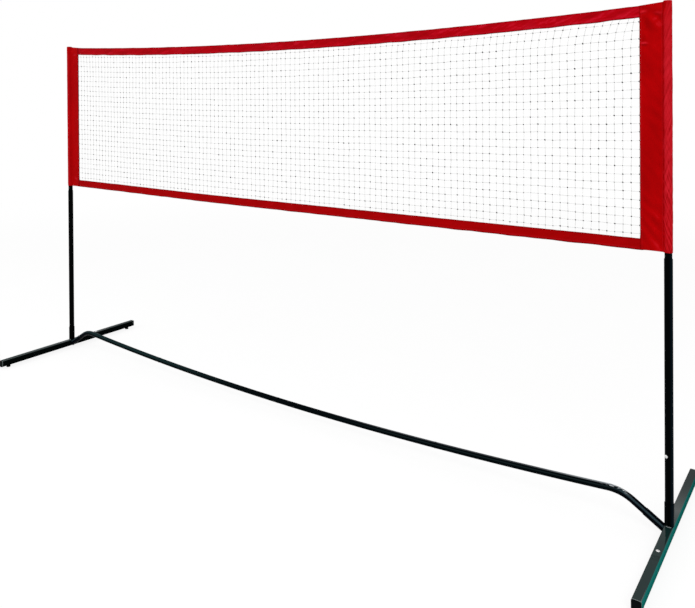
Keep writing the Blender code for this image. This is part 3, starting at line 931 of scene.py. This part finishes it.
# %% [markdown]
# ## The crossbar
#
# The crossbar is one thin tube in four sections, and each plugs into the next. It
# sags a little between two round bends and then dives into the stubs. A curve with
# a round bevel follows that line smoothly; each section's narrow end is the same
# curve with a smaller radius, hidden in its neighbour. The mouth of a section is
# rolled over slightly, which is why the joints show as fine rings.

# %% Crossbar route
stub_foot = Vector((post_x - foot_size.x / 2, stub_axis_height))
stub_clearance = 0.020
sag_steps = 60
bend_steps = 24
dive_steps = 4


def bar_route():
    """Points (x, z) along the bar's axis, from the left stub to the right one."""
    half = [(bend_x * i / sag_steps, bar_middle_height + bar_sag * (i / sag_steps) ** 2)
            for i in range(sag_steps + 1)]
    start = Vector(half[-1])
    slope = Vector((1.0, 2 * bar_sag / bend_x)).normalized()
    down = Vector((math.cos(stub_angle), -math.sin(stub_angle)))
    across = stub_foot - start
    reach = (across.x * down.y - across.y * down.x) / (slope.x * down.y - slope.y * down.x)
    turn = slope.angle(down)
    centre = start + reach / math.tan(turn / 2) * Vector((slope.y, -slope.x))
    arm = start - centre
    for i in range(1, bend_steps + 1):
        swing = turn * i / bend_steps
        half.append((centre.x + arm.x * math.cos(swing) + arm.y * math.sin(swing),
                     centre.y + arm.y * math.cos(swing) - arm.x * math.sin(swing)))
    last = Vector(half[-1])
    end = stub_foot - down * stub_clearance
    half += [tuple(last + (end - last) * i / dive_steps) for i in range(1, dive_steps + 1)]
    return [(-x, z) for x, z in reversed(half[1:])] + half


def on_route(x):
    """Height of the bar's axis at a place along the net."""
    for (x0, z0), (x1, z1) in zip(route, route[1:]):
        if x0 <= x <= x1:
            return z0 + (z1 - z0) * (x - x0) / (x1 - x0)
    return route[-1][1]


route = bar_route()
print("bar from", round(route[0][0], 4), "to", round(route[-1][0], 4))

# %% Crossbar sections
male_end = 0.0495
bar_wall = 0.0012
narrow = (bar_radius - bar_wall - fit_gap) / bar_radius
rim_share = 0.93
# rings of a rolled mouth: distance from its end and share of the bar's radius
lip_rings = [(0.0046, 1.035), (0.0036, 1.055), (0.0012, 1.055), (0.0004, 1.02)]


def swept(runs, radius, resolution, twist):
    """Closed tubes through runs of (x, y, z, share of the radius) points, as one bmesh."""
    curve = bpy.data.curves.new("sweep", "CURVE")
    curve.dimensions = "3D"
    curve.twist_mode = twist
    curve.bevel_depth = radius
    curve.bevel_resolution = resolution
    curve.use_fill_caps = True
    for run in runs:
        spline = curve.splines.new("POLY")
        spline.points.add(len(run) - 1)
        for point, (x, y, z, share) in zip(spline.points, run):
            point.co = (x, y, z, 1.0)
            point.radius = share
    holder = added("sweep", curve)
    mesh = evaluated_mesh(holder)
    bpy.data.objects.remove(holder)
    shape = bmesh.new()
    shape.from_mesh(mesh)
    return shape


def bar_section(left, right, male, lip):
    """One section: its narrow end, its body and the rolled lip of its mouth."""
    def at(x, share=1.0):
        return (x, 0.0, on_route(x), share)

    points = []
    if male:
        points += [at(left - male_end * (3 - i) / 3, narrow) for i in range(3)] + [at(left - 0.0004, narrow)]
    points += [at(left, rim_share), at(left + 0.0006)]
    body_end = right - (0.0052 if lip else 0.0006)
    points += [(x, 0.0, z, 1.0) for x, z in route if left + 0.002 < x < body_end - 0.002]
    points.append(at(body_end))
    if lip:
        points += [at(right - back, share) for back, share in lip_rings]
    points.append(at(right, rim_share))
    return swept([points], bar_radius, 18, "Z_UP")


names = ["left_crossbar_end", "left_crossbar_middle", "right_crossbar_middle", "right_crossbar_end"]
for i, name in enumerate(names):
    low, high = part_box(name)
    start = low.x if i == 0 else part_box(names[i - 1])[1].x + fit_gap
    piece(name + "_tube", bar_section(start, high.x, i > 0, i < 3), bar_paint, [name])
    print(name, "from", round(start, 4), "to", round(high.x, 4))

# %% [markdown]
# ## The sleeves
#
# A sleeve is a strip of red cloth folded in half round the post. The two layers
# are sewn together beside the post, which makes the pocket, and run on flat to the
# net as a double panel. A flat grid is the cloth as it was cut; a rule then carries
# each of its points to its place: along the back layer, round the post and along
# the front layer. Near the top the pocket's cloth is drawn in over the post's cap.
# Small waves in that rule are the wrinkles, and a Solidify modifier gives the
# cloth its thickness.

# %% Sleeve sizes
sleeve_low, sleeve_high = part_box("right_sleeve")
panel_top = sleeve_high.z - 0.003
sleeve_high.z -= 0.0008
inner_x = post_x - sleeve_low.x
pocket_radius = (sleeve_high.y - sleeve_low.y) / 2
cloth_thickness = 0.0005
pocket_line = pocket_radius - 0.0006
neck_x = pocket_radius + 0.0022
layer_offset = 0.0007
top_fall = 0.0075
band_height = 0.035
bottom_band_height = 0.0335
band_half = 0.0012
hem_lift = 0.008
panel_columns = 26
arc_columns = 52
sleeve_rows = 300
dense_part = 0.90
dense_step = 0.955
open_step = 1.405
tangent = math.acos(pocket_line / neck_x)
# the pocket's roof: the height of its cloth, how much cloth goes into it and how its edge bends
roof_z = sleeve_high.z - 0.0005
roof_cloth = 0.0127
roof_edge = 0.0016
roof_bend = 0.30


def across_sleeve():
    """Points (distance towards the net, sideways) of the folded cloth, back layer first."""
    layer = [inner_x + (neck_x - inner_x) * i / panel_columns for i in range(panel_columns + 1)]
    angles = [tangent + (2 * math.pi - 2 * tangent) * i / arc_columns for i in range(arc_columns + 1)]
    arc = [(pocket_line * math.cos(angle), pocket_line * math.sin(angle)) for angle in angles]
    return [(x, layer_offset) for x in layer] + arc + [(x, -layer_offset) for x in reversed(layer)]


outline = across_sleeve()
lengths = [0.0]
for first, second in zip(outline, outline[1:]):
    lengths.append(lengths[-1] + math.dist(first, second))
sleeve_width = lengths[-1]
sleeve_height = sleeve_high.z - sleeve_low.z
print("sleeve cloth", round(sleeve_width, 4), "by", round(sleeve_height, 4), "m")

# %% [markdown]
# The two sleeves are cut alike but hang differently: the left one is smoother and
# is painted a little lighter, its pocket is less stretched and its lower end is
# drawn up a little. Most of what differs is kept in one record for each sleeve, and
# only the painted sheen of the right pocket has a rule of its own. A short sharp
# crease is given by its place across and up, its half length, its slant and its depth.

# %% Sleeve wrinkles
class Sleeve:
    """What differs between the two sleeves."""

    def __init__(self, seed, lively, glow, lift, edge_shade, creases):
        self.seed = seed
        self.lively = lively
        self.glow = glow
        self.lift = lift
        self.edge_shade = edge_shade
        self.creases = creases


# glow is painted light that lifts a whole sleeve; the triple after lift sets the painted edge shade
sleeves = {
    "right": Sleeve(
        seed=11.0, lively=1.0, glow=0.0, lift=0.0, edge_shade=(0.30, 0.0012, 0.0030),
        creases=[(0.066, 0.614, 0.009, 0.10, 0.0012), (0.066, 0.708, 0.008, -0.15, 0.0008),
                 (0.024, 0.698, 0.010, 0.20, 0.0004)]),
    "left": Sleeve(
        seed=37.0, lively=0.45, glow=0.14, lift=hem_lift, edge_shade=(0.75, 0.0040, 0.0080),
        creases=[(0.045, 0.690, 0.010, 0.20, 0.0004), (0.050, 0.040, 0.012, -0.30, 0.0004)]),
}
crease_width = 0.0030
wrinkle_step = 0.0015


def clamped(value):
    return min(1.0, max(0.0, value))


def slope(rule, place):
    """How fast a rule changes at a place."""
    return (rule(place + wrinkle_step) - rule(place - wrinkle_step)) / (2 * wrinkle_step)


def mark(across, up, crease, width):
    """From 0 to 1: how near a point lies to a crease."""
    off_line = (up - crease[1] - crease[3] * (across - crease[0])) / width
    return math.exp(-off_line ** 2 - ((across - crease[0]) / crease[2]) ** 2)


def fold(reach, height, sleeve):
    """How far the flat panel swings to one side: slow diagonal folds, finer ones near its ends, creases."""
    seed = sleeve.seed
    slow = 0.0024 * soft_noise(reach * 15 + height * 8, height * 6 - reach * 9, seed + 2)
    middling = 0.0011 * soft_noise(reach * 42 - height * 30, height * 17 + reach * 10, seed + 6)
    fine = 0.0004 * soft_noise(reach * 95 + height * 62, height * 40 - reach * 30, seed + 12)
    ends = 0.5 - 0.5 * smooth(height, 0.09, 0.20)
    ends += smooth(height, sleeve_height - 0.16, sleeve_height - 0.06)
    swing = (slow + middling * (0.4 + 0.6 * ends) + fine * (0.15 + 0.85 * ends)) * sleeve.lively
    for crease in sleeve.creases:
        swing -= crease[4] * mark(reach, height, crease, crease_width)
    return swing


def pocket_swell(angle, height, sleeve):
    """How far the pocket stands off its tube: soft bulges and slanting creases."""
    slow = soft_noise(height * 15, angle * 0.5, sleeve.seed)
    small = soft_noise(height * 55 + angle * 1.6, angle * 0.9, sleeve.seed + 4)
    crease = soft_noise(height * 90 - angle * 3.4, angle * 0.8, sleeve.seed + 9)
    creased = (2.0 - 1.5 * smooth(height, 0.12, 0.30)) * (1 - 0.75 * smooth(height, 0.52, 0.64))
    return 0.0005 + (0.0008 * slow + 0.0004 * small + 0.0003 * crease * creased) * sleeve.lively


def in_pocket(i):
    """Whether a column of the cloth goes round the post."""
    return panel_columns < i < len(outline) - 1 - panel_columns


def sleeve_light(i, height, sleeve):
    """From 0 to 1: how far a point's fold faces up to the light."""
    reach, sideways = outline[i]
    if in_pocket(i):
        angle = math.atan2(sideways, reach)
        return clamped(0.50 - 10.0 * slope(lambda up: pocket_swell(angle, up, sleeve), height))
    face = 1 if sideways > 0 else -1
    rise = slope(lambda up: fold(reach, up, sleeve), height)
    turn = slope(lambda along: fold(along, height, sleeve), reach)
    return clamped(0.5 + face * (2.4 * turn - 4.2 * rise))


for side, sleeve in sleeves.items():
    print(side, "sleeve has", len(sleeve.creases), "creases, its lower end lifted", sleeve.lift, "m")

# %% [markdown]
# Now the rule itself, for the pocket and for the panel. Both layers of the panel
# swing together, and their folds die out at the seams. The layers spread over the
# ends of the bands and close at their own edges.

# %% Where the sleeve's cloth goes
def pocket_point(i, height, sleeve):
    """A point of the pocket: round the post, and over its cap at the top."""
    reach, sideways = outline[i]
    angle = math.atan2(sideways, reach)
    into_roof = (height - (sleeve_height - roof_cloth)) / roof_cloth
    if into_roof > roof_bend:
        radius = (pocket_line - roof_edge) * (1.0 - (into_roof - roof_bend) / (1 - roof_bend)) + 0.00005
        z = roof_z + 0.0002 * (into_roof - roof_bend)
    elif into_roof > 0:
        bend = into_roof / roof_bend * math.pi / 2
        radius = pocket_line - roof_edge * (1 - math.cos(bend))
        z = roof_z - roof_edge + roof_edge * math.sin(bend)
    else:
        close = smooth(height, sleeve_height - 0.0130, sleeve_height - 0.0125)
        swell = max(-0.0001, pocket_swell(angle, height, sleeve)) * smooth(height, 0.0, 0.012)
        radius = pocket_line + swell * (1 - close)
        foot_z = sleeve_low.z + sleeve.lift
        z = foot_z + (roof_z - roof_edge - foot_z) * height / (sleeve_height - roof_cloth)
    return radius * math.cos(angle), radius * math.sin(angle), z


def panel_point(i, t, sleeve):
    """A point of the double panel between the pocket and the net."""
    reach, sideways = outline[i]
    seed = sleeve.seed
    height = sleeve_height * t
    from_net = inner_x - reach
    top = panel_top - top_fall * reach / inner_x
    low = sleeve_low.z + 0.0008 * soft_noise(reach * 30, 1.0, seed) + sleeve.lift
    z = low + (top - low) * t
    face = 1 if sideways > 0 else -1
    free = smooth(from_net, 0.0, 0.020) * smooth(reach - neck_x, 0.0, 0.012)
    part = layer_offset * (0.75 + 0.5 * soft_noise(reach * 40, height * 20, seed + face))
    lap = 1 - smooth(from_net, 0.010, 0.018)
    in_top = smooth(z, top - band_height - 0.008, top - band_height) * (1 - smooth(z, top - 0.003, top))
    in_bottom = 1 - smooth(z, low + bottom_band_height, low + bottom_band_height + 0.008)
    over_band = max(in_top, in_bottom)
    part += (band_half + 0.0007 - part) * lap * over_band
    pinch = 1 - 0.75 * (1 - smooth(from_net, 0.0, 0.0012)) * (1 - over_band)
    pinch *= 1 - 0.85 * smooth(t, 0.995, 1.0)
    return reach, face * part * pinch + fold(reach, height, sleeve) * free, z


def sleeve_sheen(side, reach, t):
    """How much painted pink sheen a point gets: along the stretched pocket and on the creases."""
    sleeve = sleeves[side]
    rim = pocket_radius - 0.0026
    rim += 0.0024 * soft_noise(t * 13, 0.0, sleeve.seed) + 0.0016 * soft_noise(t * 47, 3.0, sleeve.seed)
    rim -= 0.0060 * smooth(t, 0.91, 0.97)
    crease_sheen = max(mark(reach, t * sleeve_height - 0.0012, crease, 0.0042) for crease in sleeve.creases)
    stretched = 0.30
    if side == "right":
        stretched = (0.55 + 0.45 * smooth(t, 0.05, 0.30)) * (1 - 0.5 * smooth(t, 0.84, 0.94))
    return max(0.85 * crease_sheen, stretched * (1 - smooth(reach, rim - 0.0050, rim + 0.0010)))


def sleeve_rule(side, i, up):
    """A point's place in the room and on the flat cloth, and its three masks."""
    sleeve = sleeves[side]
    # rows lie a little closer over most of the height and wider near the top
    t = up * dense_step
    if up >= dense_part:
        t = dense_part * dense_step + (up - dense_part) * open_step
    height = t * sleeve_height
    x, y, z = pocket_point(i, height, sleeve) if in_pocket(i) else panel_point(i, t, sleeve)
    reach = outline[i][0]
    # painted light and shade of the fold, lifted by the sleeve's glow
    light = min(1.0, sleeve_light(i, height, sleeve) + sleeve.glow)
    # painted shade along the inner edge, fading out towards the pocket
    strength, start, end = sleeve.edge_shade
    edge_shade = strength * (1 - smooth(inner_x - reach, start, end))
    return stands[side] @ Vector((-x, y, z)), (lengths[i], height), (light, sleeve_sheen(side, reach, t), edge_shade)


print("rows near the pocket's top", round(1000 * open_step * sleeve_height / sleeve_rows, 2), "mm apart")

# %% [markdown]
# One helper makes every sheet: it lays out the flat grid, asks the rule about each
# of its points, and stores the place on the flat cloth as the cloth's own map.

# %% Sleeve pieces
def cloth_piece(name, node, finish, grid, rule, thickness, flat):
    """A sheet of cloth, stretched in its place by a rule."""
    columns, rows = grid
    shape = bmesh.new()
    bmesh.ops.create_grid(shape, x_segments=columns, y_segments=rows, size=0.5)
    cloth = shape.loops.layers.uv.new("cloth")
    layers = [shape.verts.layers.float.new(mask) for mask in masks]
    cut_place = {}
    for vert in shape.verts:
        column = round((vert.co.x + 0.5) * columns)
        vert.co, cut_place[vert.index], levels = rule(column, vert.co.y + 0.5)
        for layer, level in zip(layers, levels):
            vert[layer] = level
    for face in shape.faces:
        for loop in face.loops:
            loop[cloth].uv = cut_place[loop.vert.index]
    item = piece(name, shape, finish, [node], body="net", sharp=80)
    thicken(item, thickness, 0)
    print(name, "cut", round(flat[0], 4), "by", round(flat[1], 4), "m")


hem_seam = 0.0055
pocket_seam = inner_x - neck_x - 0.001
seam_rows = [hem_seam, pocket_seam, sleeve_width - pocket_seam, sleeve_width - hem_seam]
# reds: shaded and lit for painted folds, pale for painted sheen and stitches, dark for painted edge shade
sleeve_red = red_cloth("sleeve_red", (0.27, 0.0000, 0.0004), (0.50, 0.0002, 0.0014), (0.58, 0.0130, 0.0240),
                       (0.13, 0.0000, 0.0004), 0.0005, seam_rows, 0.0032)
for side in sleeves:
    cloth_piece(side + "_sleeve_cloth", side + "_sleeve", sleeve_red, (len(outline) - 1, sleeve_rows),
                lambda i, up: sleeve_rule(side, i, up), cloth_thickness, (sleeve_width, sleeve_height))

# %% [markdown]
# ## The bands
#
# The top and bottom of the net are bound with red tape, folded lengthwise over the
# net's edge and sewn through, and its ends lie between the layers of the sleeves.
# Again a flat grid is the tape as cut. The rule folds it in half and lets it
# pucker a little, since sewn tape never lies quite flat; the top one hangs in a
# shallow curve between the posts.

# %% Band lines
top_low, top_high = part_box("top_band")
bottom_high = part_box("bottom_band")[1]
band_end_x = top_high.x
plain_band_height = 0.033
band_sag = top_high.z - top_low.z - plain_band_height


def top_edge(x):
    """Height of the top band's upper edge."""
    return top_high.z + 0.0013 - band_sag * (1 - min(1.0, (x / band_end_x) ** 2))


def bottom_edge(x):
    """Height of the bottom band's upper edge; its left end is drawn up a little."""
    return bottom_high.z + 0.0005 + hem_lift * smooth(-x, 0.25, 1.42)


def ripple(x, depth, seed):
    """A band's own waves: long ones and slanting puckers."""
    slow = 0.0016 * soft_noise(x * 8, depth * 20, seed + 3)
    puckers = 0.0012 * soft_noise(x * 24 + depth * 45, depth * 34 - x * 6, seed + 5)
    return slow + puckers + 0.0007 * soft_noise(x * 85 + depth * 110, depth * 80, seed + 6)


def band_swing(x, depth, height, seed):
    """How far a band's cloth lies to one side of the net's own plane."""
    middle = math.sin(math.pi * min(1.0, depth / height))
    calm = 1 - smooth(abs(x), band_end_x - 0.03, band_end_x)
    return ripple(x, depth, seed) * calm * (0.4 + 0.6 * middle)


print("top band sags", round(band_sag * 1000, 1), "mm between the posts")

# %% [markdown]
# Seven columns of the grid run down each layer of a band and six round its fold.
# `lively` says how far the puckers go, `gain` how strongly their painted light and
# shade show, the next number how much painted pink sheen lies on the tape, and
# `right_glow` how much painted light lifts its right end.

# %% Bands
tape_thickness = 0.0006
band_lap = 0.009
fold_radius = band_half - tape_thickness / 2
fold_width = math.pi * fold_radius
layer_columns = 7
fold_columns = 6
far_layer = layer_columns + fold_columns
band_columns = far_layer + layer_columns
band_rows = 560
tape_length = 2 * (band_end_x + band_lap)


def across_band(i, height):
    """A column's depth below the band's edge, its side of the net and its place across the tape."""
    half_width = height - fold_radius
    if i <= layer_columns:
        across = half_width * i / layer_columns
        return height - across, -fold_radius, across
    if i >= far_layer:
        across = half_width * (i - far_layer) / layer_columns
        depth = height - half_width * (band_columns - i) / layer_columns
        return depth, fold_radius, half_width + fold_width + across
    turn = (i - layer_columns) / fold_columns
    bend = math.pi * turn
    return fold_radius * (1 - math.sin(bend)), -fold_radius * math.cos(bend), half_width + fold_width * turn


def band_piece(node, upper, height, seed, finish, lively, gain, sheen_amount, right_glow, streaks=()):
    """A folded band under its upper edge; streaks are painted highlights along creases of its cloth."""
    def rule(i, up):
        x = (up - 0.5) * tape_length
        depth, sideways, across = across_band(i, height)
        face = 1 if sideways > 0 else -1
        edge_wave = 0.0011 * soft_noise(x * 11, 0.0, seed) + 0.0005 * soft_noise(x * 37, 2.0, seed)
        top = upper(x) + lively * edge_wave
        low_wave = lively * 0.0018 * soft_noise(x * 15, 5.0, seed)
        middle = math.sin(math.pi * min(1.0, depth / height))
        puff = 0.0003 * middle * soft_noise(x * 30, depth * 50, seed + (1 if sideways > 0 else 2))
        y = sideways + lively * band_swing(x, depth, height, seed) + face * puff
        tilt = slope(lambda along: ripple(along, depth, seed), x)
        fall = slope(lambda down: ripple(x, down, seed), depth)
        # painted light and shade of the puckers, and painted light towards the right end
        light = clamped(0.5 + face * gain * (6.0 * tilt - 9.0 * fall) + right_glow * smooth(x, 0.7, 1.3))
        # painted pink sheen in random patches and along the streaks
        tape_sheen = sheen_amount * (0.03 + 0.22 * smooth(soft_noise(x * 14, depth * 40, seed + 8), 0.0, 0.7))
        tape_sheen += 0.75 * max([mark(x, depth, streak, 0.0022) for streak in streaks], default=0.0)
        # painted shade along the band's open edge and along its fold
        edge_shade = 0.80 * smooth(depth, height - 0.0052, height - 0.0014)
        edge_shade += 0.45 * (1 - smooth(depth, 0.0006, 0.0030))
        where = Vector((x, y, top - depth * (1 + low_wave / height)))
        return where, (across, x + tape_length / 2), (light, tape_sheen, edge_shade)

    tape_width = 2 * (height - fold_radius) + fold_width
    cloth_piece(node + "_tape", node, finish, (band_columns, band_rows), rule, tape_thickness,
                (tape_width, tape_length))


top_seed = 21.0
bottom_seed = 51.0
bottom_lively = 0.7
tape_rows = [0.0045, 0.0075, 2 * band_height - 0.0065, 2 * band_height - 0.0035]
# reds: shaded and lit for painted folds, pale for painted sheen and stitches, dark for painted edge shade
tape_red = red_cloth("tape_red", (0.30, 0.0000, 0.0018), (0.50, 0.0002, 0.0050), (0.62, 0.0140, 0.0420),
                     (0.14, 0.0002, 0.0014), 0.0006, tape_rows, 0.0030)
hem_red = red_cloth("hem_red", (0.29, 0.0000, 0.0003), (0.43, 0.0002, 0.0012), (0.58, 0.0130, 0.0240),
                    (0.12, 0.0000, 0.0004), 0.0006, tape_rows, 0.0030)
# painted highlight streaks: place along, depth below the edge, half length and slant
top_streaks = [(1.291, 0.0075, 0.010, -0.32), (1.262, 0.0120, 0.008, -0.20), (0.500, 0.0060, 0.012, 0.15),
               (0.585, 0.0035, 0.007, -0.10), (0.625, 0.0050, 0.007, 0.20)]
band_piece("top_band", top_edge, band_height, top_seed, tape_red,
           lively=1.0, gain=0.42, sheen_amount=1.0, right_glow=0.20, streaks=top_streaks)
band_piece("bottom_band", bottom_edge, bottom_band_height, bottom_seed, hem_red,
           lively=bottom_lively, gain=0.22, sheen_amount=0.35, right_glow=-0.15)

# %% [markdown]
# ## The net
#
# The mesh is off-white twine, knotted wherever an upright strand meets a level
# one, and the knots are painted a darker grey for the shade in their crevices. Every
# strand is a curve through its knots, so the lines bend a little at each knot as
# they do in real netting, and a stitch of twine at the end of each level strand goes
# round the sleeve's hem.
# Near the upper corners the first rows are pulled towards the posts. The knots
# are small lumps, and there are thousands, so each has only a few faces.

# %% Knot places
net_cells = 115
knot_rows = 26
first_knot = 0.011
last_knot = 0.013
net_end = band_end_x - 0.0006
lean = [0.016, 0.007, 0.002]


def knot(column, row):
    """Where the knot of a column and a row lies."""
    x = -net_end + 2 * net_end * column / net_cells
    high = top_edge(x) - band_height - first_knot
    low = bottom_edge(x) + last_knot
    z = high + (low - high) * row / (knot_rows - 1)
    edge = min(column, net_cells - column)
    if row < len(lean) and edge > 0:
        pull_right = math.exp(-(net_cells - column) / 24.0)
        pull_left = 0.5 * math.exp(-column / 5.0)
        x += lean[row] * (pull_right - pull_left) * min(1.0, edge / 2.0)
    if edge > 0:
        slow = 0.0016 * soft_noise(column * 0.37, row * 0.41, 1.0)
        x += slow + 0.0014 * soft_noise(column * 1.7, row * 1.9, 2.0)
    slow = 0.0018 * soft_noise(column * 0.29, row * 0.53, 4.0)
    z += slow + 0.0015 * soft_noise(column * 1.3, row * 1.7, 5.0)
    y = 0.0006 * soft_noise(column * 0.5, row * 0.6, 7.0)
    return Vector((x, y, z))


knots = [[knot(column, row) for row in range(knot_rows)] for column in range(net_cells + 1)]
print("net of", net_cells + 1, "by", knot_rows, "knots, cell",
      round(1000 * (knots[60][10] - knots[59][10]).length, 1), "mm")

# %% Twine
net_twine = Finish("net_twine", "white_twine", {"Specular IOR Level": 0.2})
twine_place = net_twine.place()
twine_x, twine_z = net_twine.axes(twine_place)[::2]
ply = (twine_x + twine_z).wave(0.0016)
twine_tone = net_twine.step(net_twine.speckle(twine_place, 30.0), 0.36, 0.64)
net_twine.set("Base Color", net_twine.mix(twine_tone, (0.44, 0.44, 0.43), (0.80, 0.80, 0.79)))
net_twine.set("Roughness", 0.62 + 0.16 * ply)
net_twine.bump(ply, 0.0002, 0.5)

twine_radius = 0.00045
tucked = (0.0065, 0.0030, 0.0)
# a stitch round the sleeve's hem: distance past the edge, sideways and upwards
stitch = [(0.0024, -0.0013, 0.0004), (0.0006, -0.0013, 0.0), (0.0, 0.0, 0.0),
          (0.0006, 0.0013, 0.0), (0.0024, 0.0013, -0.0004)]


def strands(name, runs):
    """Many strands as one piece, each swept along its points."""
    shape = swept([[(*where, 1.0) for where in run] for run in runs], twine_radius, 1, "MINIMUM")
    item = piece(name, shape, net_twine, ["net_mesh"], body="net", sharp=60)
    print(name, len(item.data.polygons), "faces")


def upright_run(column):
    """An upright strand; its ends follow the bands, between their layers."""
    x = min(net_end, max(-net_end, column[0].x + 0.6 * (column[0].x - column[1].x)))
    above = [Vector((x, band_swing(x, band_height - deep, band_height, top_seed),
                     top_edge(x) - band_height + deep)) for deep in tucked]
    x = column[-1].x
    below = [Vector((x, bottom_lively * band_swing(x, deep, bottom_band_height, bottom_seed),
                     bottom_edge(x) - deep)) for deep in reversed(tucked)]
    return above + column + below


hem_stitches = [[Vector((where.x + end * past, y, where.z + rise)) for past, y, rise in stitch]
                for end, column in ((-1, knots[0]), (1, knots[-1])) for where in column]
strands("upright_twine", [upright_run(column) for column in knots])
strands("level_twine", [[column[row] for column in knots] for row in range(knot_rows)])
strands("hem_twine", hem_stitches)

# %% [markdown]
# The knots of a column are made in a mesh of their own, which is then added to the
# whole, because making thousands of balls in one growing mesh is slow.

# %% Knots
net_knots = Finish("net_knots", "white_twine", {"Specular IOR Level": 0.2})
knot_place = net_knots.place()
knot_tone = net_knots.speckle(knot_place, 45.0, 3.0)
# painted shade: the knots are dark grey, a random tone between two greys
net_knots.set("Base Color", net_knots.mix(knot_tone, (0.020, 0.020, 0.020), (0.170, 0.170, 0.170)))
net_knots.set("Roughness", 0.66 + 0.14 * knot_tone)
net_knots.bump(net_knots.speckle(knot_place, 900.0), 0.0003, 0.6)

knot_radius = 0.0018
knot_slant = 0.8
knot_stretch = Matrix.Diagonal((1.25, 0.85, 0.95, 1.0))


def knot_batch(name, columns):
    """The knots of some columns as one piece."""
    shape = bmesh.new()
    for column in columns:
        strip = bmesh.new()
        for row in range(knot_rows):
            turn = knot_slant + 0.5 * soft_noise(column * 0.9, row * 0.8, 9.0)
            size = knot_radius * (1.0 + 0.75 * soft_noise(column * 1.1, row * 1.3, 3.0))
            place = Matrix.Translation(knots[column][row]) @ Matrix.Rotation(turn, 4, "Y") @ knot_stretch
            bmesh.ops.create_uvsphere(strip, u_segments=6, v_segments=4, radius=size, matrix=place)
        mesh = as_mesh("strip", strip)
        shape.from_mesh(mesh)
        bpy.data.meshes.remove(mesh)
    item = piece(name, shape, net_knots, ["net_mesh"], body="net", sharp=80)
    print(name, len(item.data.polygons), "faces")


middle_column = (net_cells + 1) // 2
knot_batch("left_net_knots", range(0, middle_column))
knot_batch("right_net_knots", range(middle_column, net_cells + 1))

# %% [markdown]
# ## Last measurements
#
# The dressed model must keep the size of the imported one, so both boxes are printed,
# and the last line measures every piece.

# %% Measure and finish
low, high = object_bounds()
print("dressed box", [round(v, 4) for v in (*low, *high)])
